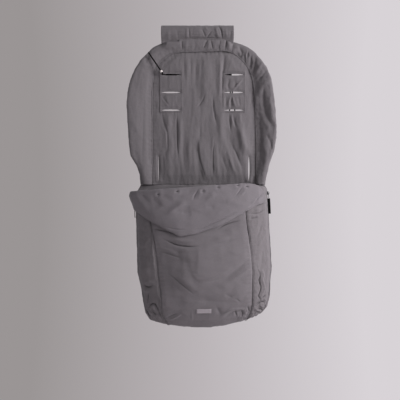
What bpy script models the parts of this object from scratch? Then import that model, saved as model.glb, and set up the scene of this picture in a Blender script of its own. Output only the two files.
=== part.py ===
# Stroller footmuff, hung up by its head flap.
# Frame: +X to the viewer's right, +Y away from the viewer, +Z up. The origin is the
# middle of the loop that the head flap makes, so the muff hangs below it.

import math

import bmesh
import bpy
from mathutils import Matrix, Vector

MM = 0.001

# Clearances
GAP = 0.3 * MM  # between neighbouring pieces
CUT_OVERRUN = 6 * MM  # how far a cutter runs past what it cuts

# Back panel
BACK_HALF_WIDTH = 224 * MM  # across the wings
BACK_DROP = 25 * MM  # from the loop's middle down to the top edge
BACK_LENGTH = 430 * MM  # top edge to hip seam
REAR_Y = 8 * MM  # the flat rear face
SEAM_THICK = 6 * MM  # quilt drawn in at its seams
CENTRE_THICK = 16 * MM
WING_THICK = 15 * MM
WING_LIFT = 22 * MM  # how far the wings curl forward
SKIN_THICK = 1.0 * MM
COVER_THICK = 1.0 * MM
LIFT_POWER = 0.7  # how soon the wings' curl fades at the top and the hip
CURL_POWER = 1.5  # of the wings' curl across their width
WING_SWELL_POWER = 0.6
CROWN_POWER = 0.8
CROWN_EDGE_SHARE = 0.15  # of a span, where the quilt swells up from its seam
ARCH_INSET = 2.4 * MM  # room between centre and wings for the piping
ARCH_PIPING_RADIUS = 0.9 * MM
ARCH_DROP_POWER = 4  # how late the channel for the piping turns along the top

# Harness slots. Their middles are shares of the back's half width.
SLOT_LEFT_SHARE = -0.4107
SLOT_RIGHT_SHARE = 0.4375
LAP_LEFT_SHARE = -0.5804
LAP_RIGHT_SHARE = 0.6384
SLOT_LENGTH = 57 * MM
SLOT_HEIGHT = 6.5 * MM
SLOT_LEFT_X = SLOT_LEFT_SHARE * BACK_HALF_WIDTH
SLOT_RIGHT_X = SLOT_RIGHT_SHARE * BACK_HALF_WIDTH
SLOT_TOP_DROP = 123 * MM  # from the loop's middle to the top row
SLOT_PITCH = 53.5 * MM
SLOT_ROWS = 3
PATCH_MARGIN = 6 * MM
LAP_SLOT_LENGTH = 72 * MM
LAP_SLOT_WIDTH = 6 * MM
LAP_LEFT_X = LAP_LEFT_SHARE * BACK_HALF_WIDTH
LAP_RIGHT_X = LAP_RIGHT_SHARE * BACK_HALF_WIDTH
LAP_DROP = 406 * MM
CROTCH_SLOT_LENGTH = 46 * MM
CROTCH_SLOT_HEIGHT = 7 * MM
CROTCH_DROPS = (545 * MM, 585 * MM)

# Muff
LEG_LENGTH = 427 * MM  # hip seam to the foot
MUFF_HALF_WIDTH = 208 * MM
MUFF_CENTRE_X = 4 * MM
MUFF_TOP_DROP = 463 * MM  # from the loop's middle to the turned edge
MUFF_DEPTH = 86 * MM
FOOT_DEPTH = 12 * MM
SHELL_THICK = 9.6 * MM
SHELL_LINING = 1.0 * MM
PIPING_RADIUS = 1.2 * MM
SEAM_EASE = 1.8 * MM  # from the piping to the panels beside it, measured level
TOP_TILT = 14 * MM  # the mouth hangs lower at the viewer's left
TOP_SIDE_DROP = 17 * MM  # at the viewer's right end of the mouth
LEG_ROW_STEP = 6 * MM  # from the hip seam to the leg panel's first row
SIDE_DROP_POWER = 6  # how close to its ends the mouth's edge drops
FOOT_RISE_LEFT = 16 * MM
FOOT_RISE_RIGHT = 36 * MM
SEAM_MARGIN = 18 * MM  # flat edge of the leg panel under the muff's wall
CURVE_POWER = 0.77  # of the half oval that the muff's section follows
NORMAL_STEP_SHARE = 0.004

# Zips, measured forward from the leg panel round the muff's side
GUSSET_WIDTH = 10 * MM
TAPE_WIDTH = 5 * MM
TAPE_THICK = 0.8 * MM
TAPE_SUNK = 1.8 * MM  # below the muff's outer face
COIL_WIDTH = 2 * MM
COIL_THICK = 2.4 * MM
COIL_SUNK = 1.0 * MM
COIL_CHANNEL = 1.6 * MM  # between the two coils, for the slider's bridge
SLIDER_START_DROP = 15 * MM  # below the top end of the zip
SLIDER_LENGTH = 11 * MM
SLIDER_WIDTH = 8.4 * MM
SLIDER_PROUD = 1.5 * MM
SLIDER_PLATE = 1.7 * MM
SLIDER_FRAME_SHARE = 0.3  # of the muff's height, where the slider's tilt is taken
BRIDGE_THICK = 1.0 * MM
BRIDGE_SHARE = 0.8  # of the slider's length
BAIL_HEIGHT = 3.4 * MM
BAIL_LENGTH = 7.6 * MM
BAIL_WIDTH = 2.0 * MM
BAIL_BAR = 1.1 * MM
PULL_BAR_RADIUS = 0.7 * MM
PULL_BAR_SEGMENTS = 12
PULL_ARM = 1.2 * MM
PULL_ARM_LENGTH = 8 * MM
PULL_LENGTH = 16 * MM
PULL_EASE = 0.15 * MM  # how far the plate stands past its arms
TAB_WIDTH = 8 * MM
TAB_LENGTH = 38 * MM
TAB_THICK = 1.6 * MM
TAB_INSIDE = 1.2 * MM  # the twisted tab's reach towards the muff from the plate's middle

# Cuff
CUFF_THICK = 9 * MM
CUFF_PLACE_PASSES = 3  # until a point of the cuff settles on its column
CUFF_SKIN = 1.0 * MM
CUFF_REST_GAP = 1.8 * MM  # clears the piping beside the front panel
CUFF_END_SHARE = 0.5  # of the pad's thickness, at the cuff's two ends
CUFF_SIDE_GAP = 3 * MM  # lets the cuff's arms swing past the muff's sides
CUFF_LOBE = 9 * MM  # the viewer's left end of the cuff stands out at its top
LABEL_WIDTH = 42 * MM
LABEL_HEIGHT = 13 * MM
LABEL_THICK = 0.8 * MM
LABEL_SHARE = 0.852  # of the way down the front
LABEL_X = 3 * MM  # the label's middle, to the right of the muff's
LABEL_TURNS = (-1, -0.5, 0, 0.5, 1)
LABEL_DOWNS = (-0.5, 0, 0.5)
LABEL_REST = 0.4 * MM

# Head flap
LOOP_RADIUS = 21.5 * MM  # inside of the flap's loop
FLAP_THICK = 2.6 * MM
FLAP_WIDTH = 218 * MM
FLAP_CENTRE_X = -12 * MM
FLAP_HEM_DROP = 31 * MM
FLAP_REAR_DROP = 104 * MM
FLAP_TURN_DROP = 48 * MM  # where the rear leg meets the back
FLAP_ARC_STEPS = 12
FLAP_ACROSS_SHARES = (0.0, 0.25, 0.5, 0.75, 1.0)
TAPE_PAD_HEIGHT = 34 * MM
TAPE_PAD_THICK = 1.5 * MM
TAPE_PAD_SIDE_MARGIN = 14 * MM
TAPE_PAD_END_MARGIN = 8 * MM

# Elastic behind the slots
STRAP_WIDTH = 22 * MM
STRAP_THICK = 1.6 * MM
STRAP_LEFT_X = -148 * MM
STRAP_RIGHT_X = 92 * MM
ANCHOR_WIDTH = 24 * MM
ANCHOR_THICK = 3.1 * MM
ANCHOR_RIGHT_X = 24 * MM
CORD_RADIUS = 2.0 * MM
ROUTE_STEPS = 3  # straight pieces between two points of a cord's route
BEAD_RADIUS = 4.0 * MM
BEAD_BORE_RADIUS = 2.4 * MM
BEAD_SEGMENTS = 20
BEAD_RINGS = 12
CORD_Y = -15.5 * MM  # the taut cord's plane, clear of the quilt's crown
CORD_SLOT_X = -116 * MM  # near the left end of the top left slot
BEAD_START = 4 * MM  # along the cord from its bend at the slot
CORD_BEND = 3 * MM  # reach of the cord's turns
CORD_END_GAP = 0.2 * MM
CORD_BACK_SHARES = (0.35, 0.7)  # points of the stretch from the strap to the slot
RIM_TURN_SHARE = 0.2
RIM_DIP_SHARE = 0.25
RIM_STATION_INDEX = 12  # of the left wing, where the cord reaches the rim
RIM_ACROSS_SHARE = 0.86
RIM_DIP = 5 * MM  # from the taut plane down to the rim

# Outline of the wings as shares: arch x, arch z, edge x, edge z. x is a share of
# BACK_HALF_WIDTH and z of BACK_LENGTH, measured down from the top edge.
LEFT_WING_SHARES = (
    (-0.67, 1.0, -0.82, 1.0),
    (-0.67, 0.93, -0.83, 0.93),
    (-0.67, 0.865, -0.873, 0.865),
    (-0.67, 0.80, -0.95, 0.80),
    (-0.67, 0.72, -0.97, 0.72),
    (-0.67, 0.61, -0.982, 0.61),
    (-0.67, 0.52, -0.99, 0.52),
    (-0.67, 0.44, -1.0, 0.44),
    (-0.67, 0.36, -0.985, 0.35),
    (-0.66, 0.28, -0.955, 0.275),
    (-0.64, 0.213, -0.893, 0.195),
    (-0.595, 0.166, -0.817, 0.13),
    (-0.53, 0.124, -0.73, 0.08),
    (-0.445, 0.093, -0.65, 0.035),
    (-0.355, 0.075, -0.535, 0.005),
)
TOP_WING_SHARES = (
    (-0.22, 0.069, -0.33, 0.0),
    (0.0, 0.066, -0.05, 0.0),
    (0.22, 0.063, 0.24, 0.0),
)
RIGHT_WING_SHARES = (
    (0.36, 0.065, 0.455, 0.0),
    (0.47, 0.091, 0.595, 0.024),
    (0.56, 0.133, 0.702, 0.058),
    (0.63, 0.18, 0.797, 0.12),
    (0.68, 0.236, 0.87, 0.18),
    (0.705, 0.30, 0.93, 0.265),
    (0.723, 0.38, 0.97, 0.38),
    (0.73, 0.48, 0.99, 0.48),
    (0.735, 0.56, 0.995, 0.56),
    (0.737, 0.63, 1.0, 0.63),
    (0.74, 0.70, 0.995, 0.70),
    (0.742, 0.77, 0.97, 0.77),
    (0.743, 0.85, 0.916, 0.85),
    (0.743, 0.93, 0.88, 0.93),
    (0.743, 1.0, 0.855, 1.0),
)
WING_ACROSS_SHARES = (0.0, 0.25, 0.6, 0.88, 1.0)
CENTRE_ACROSS_SHARES = (0.0, 0.05, 0.15, 0.27, 0.4, 0.5, 0.6, 0.73, 0.85, 0.95, 1.0)

# The muff's sides: share of its height from the mouth, share of MUFF_HALF_WIDTH.
# Each side is straight down to the first turn, where the zip's slider runs.
ZIP_STRAIGHT_SHARE = 0.62
MUFF_LEFT_SHARES = (
    (0.0, 0.976), (0.62, 0.945), (0.737, 0.894), (0.843, 0.865),
    (0.927, 0.835), (0.981, 0.775), (1.0, 0.707),
)
MUFF_RIGHT_SHARES = (
    (0.0, 0.93), (0.62, 0.997), (0.737, 0.976), (0.843, 0.971),
    (0.927, 0.938), (0.981, 0.856), (1.0, 0.755),
)
MUFF_ROW_SHARES = (0.0, 0.1, 0.22, 0.34, 0.48, 0.62, 0.737, 0.843, 0.927, 0.981, 1.0)
ZIP_END_SHARE = 0.843
PIPING_END_SHARE = 0.993
GUSSET_FOOT_SHARE = 0.42  # of the muff's depth, where it closes at the foot
SIDE_FOOT_SHARE = 0.5
LEG_FLAT_SHARE = 0.9  # below this the leg panel is thin for the foot
LEG_CROWN_SHARE = 0.12
SIDE_ACROSS_SHARES = (0.0, 0.33, 0.67, 1.0)
FRONT_ACROSS_SHARES = (0.0, 0.1, 0.22, 0.36, 0.5, 0.64, 0.78, 0.9, 1.0)
PIPING_LEFT_SHARES = (
    (0.0, 0.80), (0.22, 0.756), (0.48, 0.692), (0.62, 0.67), (0.843, 0.675), (0.927, 0.662),
    (0.981, 0.658), (1.0, 0.655),
)
PIPING_RIGHT_SHARES = (
    (0.0, 0.605), (0.22, 0.63), (0.34, 0.652), (0.48, 0.671), (0.62, 0.691), (0.843, 0.713),
    (0.927, 0.715), (0.981, 0.735), (1.0, 0.77),
)
CUFF_EDGE_SHARES = (
    (-1.0, 0.135), (-0.77, 0.215), (-0.34, 0.335), (0.0, 0.315),
    (0.4, 0.24), (0.87, 0.13), (1.0, 0.11),
)
CUFF_DOWN_SHARES = (0.0, 0.15, 0.4, 0.7, 0.9, 1.0)
CUFF_SWELL_SHARES = (0.55, 0.9, 1.0, 0.95, 0.7, 0.4)

# The cords' routes, in their own real places
HANGING_CORD_ROUTE = (
    (84 * MM, 12.5 * MM, -134.3 * MM), (86 * MM, 12.8 * MM, -155 * MM),
    (88 * MM, 13.2 * MM, -177 * MM), (86.8 * MM, 13.6 * MM, -203 * MM),
    (85.5 * MM, 14 * MM, -230 * MM), (86 * MM, 14 * MM, -250 * MM),
    (89 * MM, 14 * MM, -262 * MM), (94 * MM, 14.3 * MM, -266.5 * MM),
    (99 * MM, 14.4 * MM, -262 * MM), (101.5 * MM, 14.5 * MM, -250 * MM),
    (101.7 * MM, 14.4 * MM, -230 * MM), (98.5 * MM, 14.2 * MM, -203 * MM),
    (94.5 * MM, 13.6 * MM, -177 * MM), (92 * MM, 13 * MM, -155 * MM),
    (89.8 * MM, 12.5 * MM, -134.3 * MM),
)


def clear_scene():
    for thing in list(bpy.data.objects):
        bpy.data.objects.remove(thing, do_unlink=True)


def new_collection(name):
    group = bpy.data.collections.new(name)
    bpy.context.scene.collection.children.link(group)
    return group


def finish(name, colour, roughness, metallic=0.0):
    material = bpy.data.materials.new(name)
    material.use_nodes = True
    shader = material.node_tree.nodes["Principled BSDF"]
    shader.inputs["Base Color"].default_value = (*colour, 1)
    shader.inputs["Roughness"].default_value = roughness
    shader.inputs["Metallic"].default_value = metallic
    return material


def blend(a, b, share):
    return a + (b - a) * share


def table(pairs, at):
    """The value at one place of a table of (place, value) pairs."""
    for (x0, y0), (x1, y1) in zip(pairs, pairs[1:]):
        if at <= x1:
            return blend(y0, y1, (at - x0) / (x1 - x0))
    return pairs[-1][1]


def closed_object(name, mesh, material, group):
    """Turns a bmesh into a named object whose faces point out."""
    bmesh.ops.recalc_face_normals(mesh, faces=mesh.faces)
    if mesh.calc_volume(signed=True) < 0:
        bmesh.ops.reverse_faces(mesh, faces=mesh.faces)
    data = bpy.data.meshes.new(name)
    mesh.to_mesh(data)
    mesh.free()
    data.materials.append(material)
    thing = bpy.data.objects.new(name, data)
    group.objects.link(thing)
    return thing


def add_triangles(mesh, a, b, c, d):
    mesh.faces.new((a, b, c))
    mesh.faces.new((a, c, d))


def layer(name, near, far, material, group):
    """A closed sheet between two grids of points that match."""
    mesh = bmesh.new()
    front = [[mesh.verts.new(p) for p in row] for row in near]
    back = [[mesh.verts.new(p) for p in row] for row in far]
    rows = len(near)
    columns = len(near[0])
    for r in range(rows - 1):
        for c in range(columns - 1):
            for grid in (front, back):
                add_triangles(mesh, grid[r][c], grid[r][c + 1], grid[r + 1][c + 1], grid[r + 1][c])
    rim = [(0, c) for c in range(columns)]
    rim += [(r, columns - 1) for r in range(1, rows)]
    rim += [(rows - 1, c) for c in range(columns - 2, -1, -1)]
    rim += [(r, 0) for r in range(rows - 2, 0, -1)]
    for (r, c), (s, d) in zip(rim, rim[1:] + rim[:1]):
        add_triangles(mesh, front[r][c], front[s][d], back[s][d], back[r][c])
    return closed_object(name, mesh, material, group)


def box(name, low, high, material, group):
    mesh = bmesh.new()
    middle = (Vector(low) + Vector(high)) / 2
    size = Vector(high) - Vector(low)
    place = Matrix.Translation(middle) @ Matrix.Diagonal((*size, 1))
    bmesh.ops.create_cube(mesh, size=1, matrix=place)
    return closed_object(name, mesh, material, group)


def rounded(thing, width, segments=2):
    bevel = thing.modifiers.new("Rounded edges", "BEVEL")
    bevel.width = width
    bevel.segments = segments
    return thing


def cut(thing, cutter):
    cutter.hide_render = True
    cutter.display_type = "WIRE"
    tool = thing.modifiers.new("Cut", "BOOLEAN")
    tool.operation = "DIFFERENCE"
    tool.object = cutter
    return thing


def join(thing, other):
    other.hide_render = True
    other.display_type = "WIRE"
    tool = thing.modifiers.new("Join", "BOOLEAN")
    tool.operation = "UNION"
    tool.object = other
    return thing


def tube(name, points, radius, material, group):
    """A wire through the given points, with filled ends."""
    curve = bpy.data.curves.new(name, "CURVE")
    curve.dimensions = "3D"
    curve.bevel_depth = radius
    curve.bevel_resolution = 2
    curve.use_fill_caps = True
    spline = curve.splines.new("POLY")
    spline.points.add(len(points) - 1)
    for point, place in zip(spline.points, points):
        point.co = (*place, 1)
    curve.materials.append(material)
    thing = bpy.data.objects.new(name, curve)
    group.objects.link(thing)
    return thing


def smooth_route(points, steps):
    """Points of a smooth curve through the route's own points."""
    route = [Vector(p) for p in points]
    ends = [route[0] * 2 - route[1]] + route + [route[-1] * 2 - route[-2]]
    made = []
    for i in range(1, len(ends) - 2):
        a, b, c, d = ends[i - 1 : i + 3]
        for step in range(steps):
            t = step / steps
            made.append(
                0.5 * ((2 * b) + (c - a) * t + (2 * a - 5 * b + 4 * c - d) * t ** 2
                       + (3 * b - a - 3 * c + d) * t ** 3)
            )
    made.append(route[-1])
    return made


# Back panel and wings

def back_point(x_share, z_share):
    return Vector((x_share * BACK_HALF_WIDTH, 0, -BACK_DROP - z_share * BACK_LENGTH))


def lift_fade(z_share):
    """The wings lie flat at the top and at the hip and curl forward between."""
    return math.sin(math.pi * min(1, max(0, z_share))) ** LIFT_POWER


def wing_stations():
    shares = LEFT_WING_SHARES + TOP_WING_SHARES + RIGHT_WING_SHARES
    return [(back_point(ax, az), back_point(ex, ez), ez) for ax, az, ex, ez in shares]


def wing_lift(across, z_share):
    return WING_LIFT * across ** CURL_POWER * lift_fade(z_share)


def wing_thick(across):
    swell = math.sin(math.pi * across) ** WING_SWELL_POWER
    return blend(SEAM_THICK, WING_THICK, swell)


def wing_grid(offset_of):
    rows = []
    for arch, edge, z_share in wing_stations():
        row = []
        for across in WING_ACROSS_SHARES:
            place = arch.lerp(edge, across)
            rear = REAR_Y - wing_lift(across, z_share)
            place.y = offset_of(rear, wing_thick(across))
            row.append(place)
        rows.append(row)
    return rows


def rear_of_cover(rear, thick):
    return rear


def front_of_cover(rear, thick):
    return rear - COVER_THICK


def rear_of_wadding(rear, thick):
    return rear - COVER_THICK - GAP


def front_of_wadding(rear, thick):
    return rear - thick + SKIN_THICK + GAP


def rear_of_face(rear, thick):
    return rear - thick + SKIN_THICK


def front_of_face(rear, thick):
    return rear - thick


LAYERS = (
    ("rear_cover", rear_of_cover, front_of_cover),
    ("wadding", rear_of_wadding, front_of_wadding),
    ("face", rear_of_face, front_of_face),
)


def quilt(region, grid, materials, group):
    """The rear cover, wadding and face of one quilted region."""
    return {
        kind: layer(f"{region}_{kind}", grid(near), grid(far), materials[kind], group)
        for kind, near, far in LAYERS
    }


def crown(share, edge_share=CROWN_EDGE_SHARE):
    """0 at the ends of a span, 1 over its middle."""
    near = min(share, 1 - share) / edge_share
    return math.sin(math.pi / 2 * min(1, near)) ** CROWN_POWER


def centre_corners():
    left = [back_point(ax, az) for ax, az, ex, ez in LEFT_WING_SHARES]
    right = [back_point(ax, az) for ax, az, ex, ez in reversed(RIGHT_WING_SHARES)]
    inset = Vector((ARCH_INSET, 0, 0))
    drop = Vector((0, 0, ARCH_INSET))
    pairs = []
    for i, (a, b) in enumerate(zip(left, right)):
        up = i / (len(left) - 1)
        lowered = drop * up ** ARCH_DROP_POWER
        pairs.append((a + inset - lowered, b - inset - lowered, 1 - up))
    return pairs


def arch_seam():
    """The middle of the channel between the wings and the centre, at the quilt's front."""
    pairs = centre_corners()
    left = [back_point(ax, az) for ax, az, ex, ez in LEFT_WING_SHARES]
    top = [back_point(ax, az) for ax, az, ex, ez in TOP_WING_SHARES]
    right = [back_point(ax, az) for ax, az, ex, ez in RIGHT_WING_SHARES]
    line = [a.lerp(pair[0], 0.5) for a, pair in zip(left, pairs)]
    line += [a - Vector((0, 0, ARCH_INSET / 2)) for a in top]
    line += [a.lerp(pair[1], 0.5) for a, pair in zip(right, reversed(pairs))]
    for point in line:
        point.y = REAR_Y - SEAM_THICK
    return line


def centre_grid(offset_of):
    rows = []
    for left, right, down in centre_corners():
        row = []
        for across in CENTRE_ACROSS_SHARES:
            place = left.lerp(right, across)
            thick = blend(SEAM_THICK, CENTRE_THICK, crown(across) * crown(down))
            place.y = offset_of(REAR_Y, thick)
            row.append(place)
        rows.append(row)
    return rows


def slot_places():
    """Name, middle and half size of each harness, lap and crotch slot."""
    places = []
    for side, x in (("left", SLOT_LEFT_X), ("right", SLOT_RIGHT_X)):
        for row in range(SLOT_ROWS):
            z = -SLOT_TOP_DROP - row * SLOT_PITCH
            places.append((f"harness_{side}_{row + 1}", x, z, SLOT_LENGTH / 2, SLOT_HEIGHT / 2))
    for side, x in (("left", LAP_LEFT_X), ("right", LAP_RIGHT_X)):
        places.append((f"lap_{side}", x, -LAP_DROP, LAP_SLOT_WIDTH / 2, LAP_SLOT_LENGTH / 2))
    return places


def crotch_places():
    half_length = CROTCH_SLOT_LENGTH / 2
    half_height = CROTCH_SLOT_HEIGHT / 2
    return [
        (f"crotch_{i + 1}", MUFF_CENTRE_X, -drop, half_length, half_height)
        for i, drop in enumerate(CROTCH_DROPS)
    ]


def slot_cutters(places, prefix, material, group):
    deep = CENTRE_THICK + CUT_OVERRUN
    made = []
    for name, x, z, a, b in places:
        low = (x - a, REAR_Y - deep, z - b)
        high = (x + a, REAR_Y + deep, z + b)
        made.append(box(f"{prefix}_{name}", low, high, material, group))
    return made


# Leg panel and muff

def foot_bottom():
    return -BACK_DROP - BACK_LENGTH - LEG_LENGTH


def foot_z(across):
    rise = FOOT_RISE_LEFT if across < 0 else FOOT_RISE_RIGHT
    return foot_bottom() + rise * across ** 2


def mouth_z(across):
    return -MUFF_TOP_DROP + TOP_TILT * across - TOP_SIDE_DROP * max(0, across) ** SIDE_DROP_POWER


def leg_top_z(across):
    """The mouth's height, but always below the hip seam."""
    return min(mouth_z(across), -BACK_DROP - BACK_LENGTH - LEG_ROW_STEP)


def muff_side(across, down):
    shares = MUFF_LEFT_SHARES if across < 0 else MUFF_RIGHT_SHARES
    return MUFF_HALF_WIDTH * table(shares, down)


def muff_depth(down):
    if down <= ZIP_STRAIGHT_SHARE:
        return MUFF_DEPTH
    past = (down - ZIP_STRAIGHT_SHARE) / (1 - ZIP_STRAIGHT_SHARE)
    return FOOT_DEPTH + (MUFF_DEPTH - FOOT_DEPTH) * math.sqrt(max(0, 1 - past ** 2))


def muff_back_y():
    """The plane where the muff's wall stands on the leg panel."""
    return REAR_Y - SEAM_THICK - GAP


def muff_point(turn, down):
    """turn runs from -1 at the left zip round the front to 1 at the right."""
    sine = math.sin(math.pi / 2 * turn)
    cosine = max(0.0, math.cos(math.pi / 2 * turn))
    across = math.copysign(abs(sine) ** CURVE_POWER, sine)
    x = MUFF_CENTRE_X + muff_side(turn, down) * across
    y = muff_back_y() - muff_depth(down) * cosine ** CURVE_POWER
    return Vector((x, y, blend(mouth_z(across), foot_z(across), down)))


def muff_normal(turn, down):
    """Points out of the muff."""
    step = NORMAL_STEP_SHARE
    a = muff_point(min(1, turn + step), down) - muff_point(max(-1, turn - step), down)
    b = muff_point(turn, min(1, down + step)) - muff_point(turn, max(0, down - step))
    return b.cross(a).normalized()


def turn_at_depth(depth, down, most=0.9):
    """The turn, counted from the front, whose wall lies this far off the leg panel."""
    share = min(most, depth / muff_depth(down))
    return math.acos(share ** (1 / CURVE_POWER)) * 2 / math.pi


def turn_at_side(share):
    return math.asin(share ** (1 / CURVE_POWER)) * 2 / math.pi


def shell_grid(turns_of, downs, depth):
    """Points of the muff's wall, depth below its outer face."""
    return [
        [muff_point(turn, down) - muff_normal(turn, down) * depth for turn in turns_of(down)]
        for down in downs
    ]


def zip_depths():
    """Distances from the leg panel: gusset, tape, coil, coil, tape, muff side."""
    back_tape = GUSSET_WIDTH + GAP
    back_coil = back_tape + TAPE_WIDTH + GAP
    front_coil = back_coil + COIL_WIDTH + COIL_CHANNEL
    front_tape = front_coil + COIL_WIDTH + GAP
    side = front_tape + TAPE_WIDTH + GAP
    return back_tape, back_coil, front_coil, front_tape, side


def seam_turn(side, down):
    if side < 0:
        return -turn_at_side(table(PIPING_LEFT_SHARES, down))
    return turn_at_side(table(PIPING_RIGHT_SHARES, down))


def side_turns(side, down):
    """Turns across one side panel, from the zip to the piping."""
    edge = side * turn_at_depth(zip_depths()[-1], down, SIDE_FOOT_SHARE)
    seam = seam_turn(side, down)
    return [blend(edge, seam, share) for share in SIDE_ACROSS_SHARES]


def front_turns(down):
    left = seam_turn(-1, down)
    right = seam_turn(1, down)
    return [blend(left, right, share) for share in FRONT_ACROSS_SHARES]


def seam_step(side, down):
    """How far a panel's edge stays off the piping's middle, as a turn."""
    return side * (PIPING_RADIUS + SEAM_EASE) / muff_side(side, down)


def side_panel_turns(side, down):
    turns = side_turns(side, down)
    return turns[:-1] + [turns[-1] + seam_step(side, down)]


def front_panel_turns(down):
    turns = front_turns(down)
    return [turns[0] + seam_step(1, down)] + turns[1:-1] + [turns[-1] + seam_step(-1, down)]


def whole_turns(down):
    return side_panel_turns(-1, down) + front_panel_turns(down) + side_panel_turns(1, down)[::-1]


def leg_place(across, down):
    """A point of the leg panel, flat, across from -1 to 1."""
    x = MUFF_CENTRE_X + muff_side(across, down) * across
    return Vector((x, 0, blend(leg_top_z(across), foot_z(across), down)))


def hip_place(across):
    left = LEFT_WING_SHARES[0][2] * BACK_HALF_WIDTH
    right = RIGHT_WING_SHARES[-1][2] * BACK_HALF_WIDTH
    return Vector((blend(left, right, (across + 1) / 2), 0, -BACK_DROP - BACK_LENGTH - GAP))


def leg_acrosses(down):
    """Flat margins for the muff's wall, then the crowned middle."""
    edge = 1 - SEAM_MARGIN / MUFF_HALF_WIDTH / min(1, muff_side(1, down) / MUFF_HALF_WIDTH)
    return [-1.0] + [blend(-edge, edge, s) for s in CENTRE_ACROSS_SHARES] + [1.0]


def leg_thick(index, last, down):
    """Thin under the wall and at the hip and the foot, full in the middle."""
    if index in (0, last):
        return SEAM_THICK
    swell = crown(CENTRE_ACROSS_SHARES[index - 1]) * crown(down, LEG_CROWN_SHARE)
    return blend(SEAM_THICK, CENTRE_THICK, swell)


def leg_grid(offset_of):
    downs = [None] + list(MUFF_ROW_SHARES)
    rows = []
    for down in downs:
        at = 0.0 if down is None else down
        acrosses = leg_acrosses(at)
        row = []
        for index, across in enumerate(acrosses):
            place = hip_place(across) if down is None else leg_place(across, down)
            thick = leg_thick(index, len(acrosses) - 1, at) if at <= LEG_FLAT_SHARE else SEAM_THICK
            place.y = offset_of(REAR_Y, thick)
            row.append(place)
        rows.append(row)
    return rows


def muff_shell(materials, group):
    """The muff's front: outer panels, wadding and lining, then the gussets on the leg panel."""
    downs = MUFF_ROW_SHARES
    skin = (0.0, SKIN_THICK)
    wadding = (SKIN_THICK + GAP, SHELL_THICK - SHELL_LINING - GAP)
    lining = (SHELL_THICK - SHELL_LINING, SHELL_THICK)

    def panel(name, turns_of, depths, material):
        near, far = (shell_grid(turns_of, downs, depth) for depth in depths)
        return layer(name, near, far, material, group)

    panel("apron_face", front_panel_turns, skin, materials["face"])
    panel("side_face_left", lambda down: side_panel_turns(-1, down), skin, materials["side"])
    panel("side_face_right", lambda down: side_panel_turns(1, down)[::-1], skin, materials["side"])
    panel("apron_wadding", whole_turns, wadding, materials["wadding"])
    panel("apron_lining", whole_turns, lining, materials["lining"])
    whole = (0.0, SHELL_THICK)
    for name, side in (("left", -1), ("right", 1)):
        panel(f"gusset_{name}", lambda down: gusset_turns(side, down), whole, materials["side"])


def gusset_turns(side, down):
    """Across a gusset. Below the zip it widens to meet the muff's side panel."""
    width = GUSSET_WIDTH if down <= ZIP_END_SHARE else zip_depths()[-1] - COIL_THICK
    front = turn_at_depth(width, down, GUSSET_FOOT_SHARE)
    return [side * front, side * (front + 1) / 2, side]


def strip_turns(side, low, high, down):
    return [side * turn_at_depth(low, down), side * turn_at_depth(high, down)]


def zip_downs():
    return [down for down in MUFF_ROW_SHARES if down <= ZIP_END_SHARE]


def zip_strip(name, side, low, width, sunk, thick, material, group):
    def turns(down):
        return strip_turns(side, low, low + width, down)

    near = shell_grid(turns, zip_downs(), sunk)
    far = shell_grid(turns, zip_downs(), sunk + thick)
    return layer(name, near, far, material, group)


def zips(materials, group):
    back_tape, back_coil, front_coil, front_tape, _ = zip_depths()
    strips = (
        ("zip_tape_back", back_tape, TAPE_WIDTH, TAPE_SUNK, TAPE_THICK, "tape"),
        ("zip_coil_back", back_coil, COIL_WIDTH, COIL_SUNK, COIL_THICK, "coil"),
        ("zip_coil_front", front_coil, COIL_WIDTH, COIL_SUNK, COIL_THICK, "coil"),
        ("zip_tape_front", front_tape, TAPE_WIDTH, TAPE_SUNK, TAPE_THICK, "tape"),
    )
    for name, low, width, sunk, thick, kind in strips:
        for word, side in (("left", -1), ("right", 1)):
            zip_strip(f"{name}_{word}", side, low, width, sunk, thick, materials[kind], group)


def seam_piping(name, side, material, group):
    """A cord in the seam between the front and a side panel, seated on the wadding."""
    proud = PIPING_RADIUS - SKIN_THICK
    points = []
    for down in MUFF_ROW_SHARES[:-1] + (PIPING_END_SHARE,):
        turn = seam_turn(side, down)
        points.append(muff_point(turn, down) + muff_normal(turn, down) * proud)
    return tube(name, points, PIPING_RADIUS, material, group)


def foot_panel(material, group):
    """Closes the foot between the muff's front rim and the leg panel."""
    near = [[], []]
    far = [[], []]
    behind = Vector((0, GAP, 0))
    for turn in whole_turns(1):
        low = muff_point(turn, 1) + behind
        high = low - muff_normal(turn, 1) * SHELL_THICK
        near[0].append(low)
        far[0].append(high)
        near[1].append(Vector((low.x, muff_back_y(), low.z)))
        far[1].append(Vector((high.x, muff_back_y(), high.z)))
    return layer("foot_panel", near, far, material, group)


def zip_line(side):
    """Top and foot of the straight run of a zip's channel."""
    back_coil = zip_depths()[1]
    depth = back_coil + COIL_WIDTH + COIL_CHANNEL / 2
    top = muff_point(side * turn_at_depth(depth, 0), 0)
    foot = muff_point(side * turn_at_depth(depth, ZIP_STRAIGHT_SHARE), ZIP_STRAIGHT_SHARE)
    return top, foot


def slider_frame(side):
    """Matrix of a slider: X out of the muff's side, Z up the zip, Y along its width."""
    top, foot = zip_line(side)
    up = (top - foot).normalized()
    out = muff_normal(side * turn_at_depth(zip_depths()[2], SLIDER_FRAME_SHARE), SLIDER_FRAME_SHARE)
    out = (out - up * out.dot(up)).normalized()
    width = up.cross(out)
    middle = top - up * SLIDER_START_DROP
    turn = Matrix((out, width, up)).transposed().to_4x4()
    return Matrix.Translation(middle) @ turn


def in_frame(frame, low, high, name, material, group):
    """A box whose corners are given in a turned frame."""
    mesh = bmesh.new()
    middle = (Vector(low) + Vector(high)) / 2
    size = Vector(high) - Vector(low)
    place = frame @ Matrix.Translation(middle) @ Matrix.Diagonal((*size, 1))
    bmesh.ops.create_cube(mesh, size=1, matrix=place)
    return closed_object(name, mesh, material, group)


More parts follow.
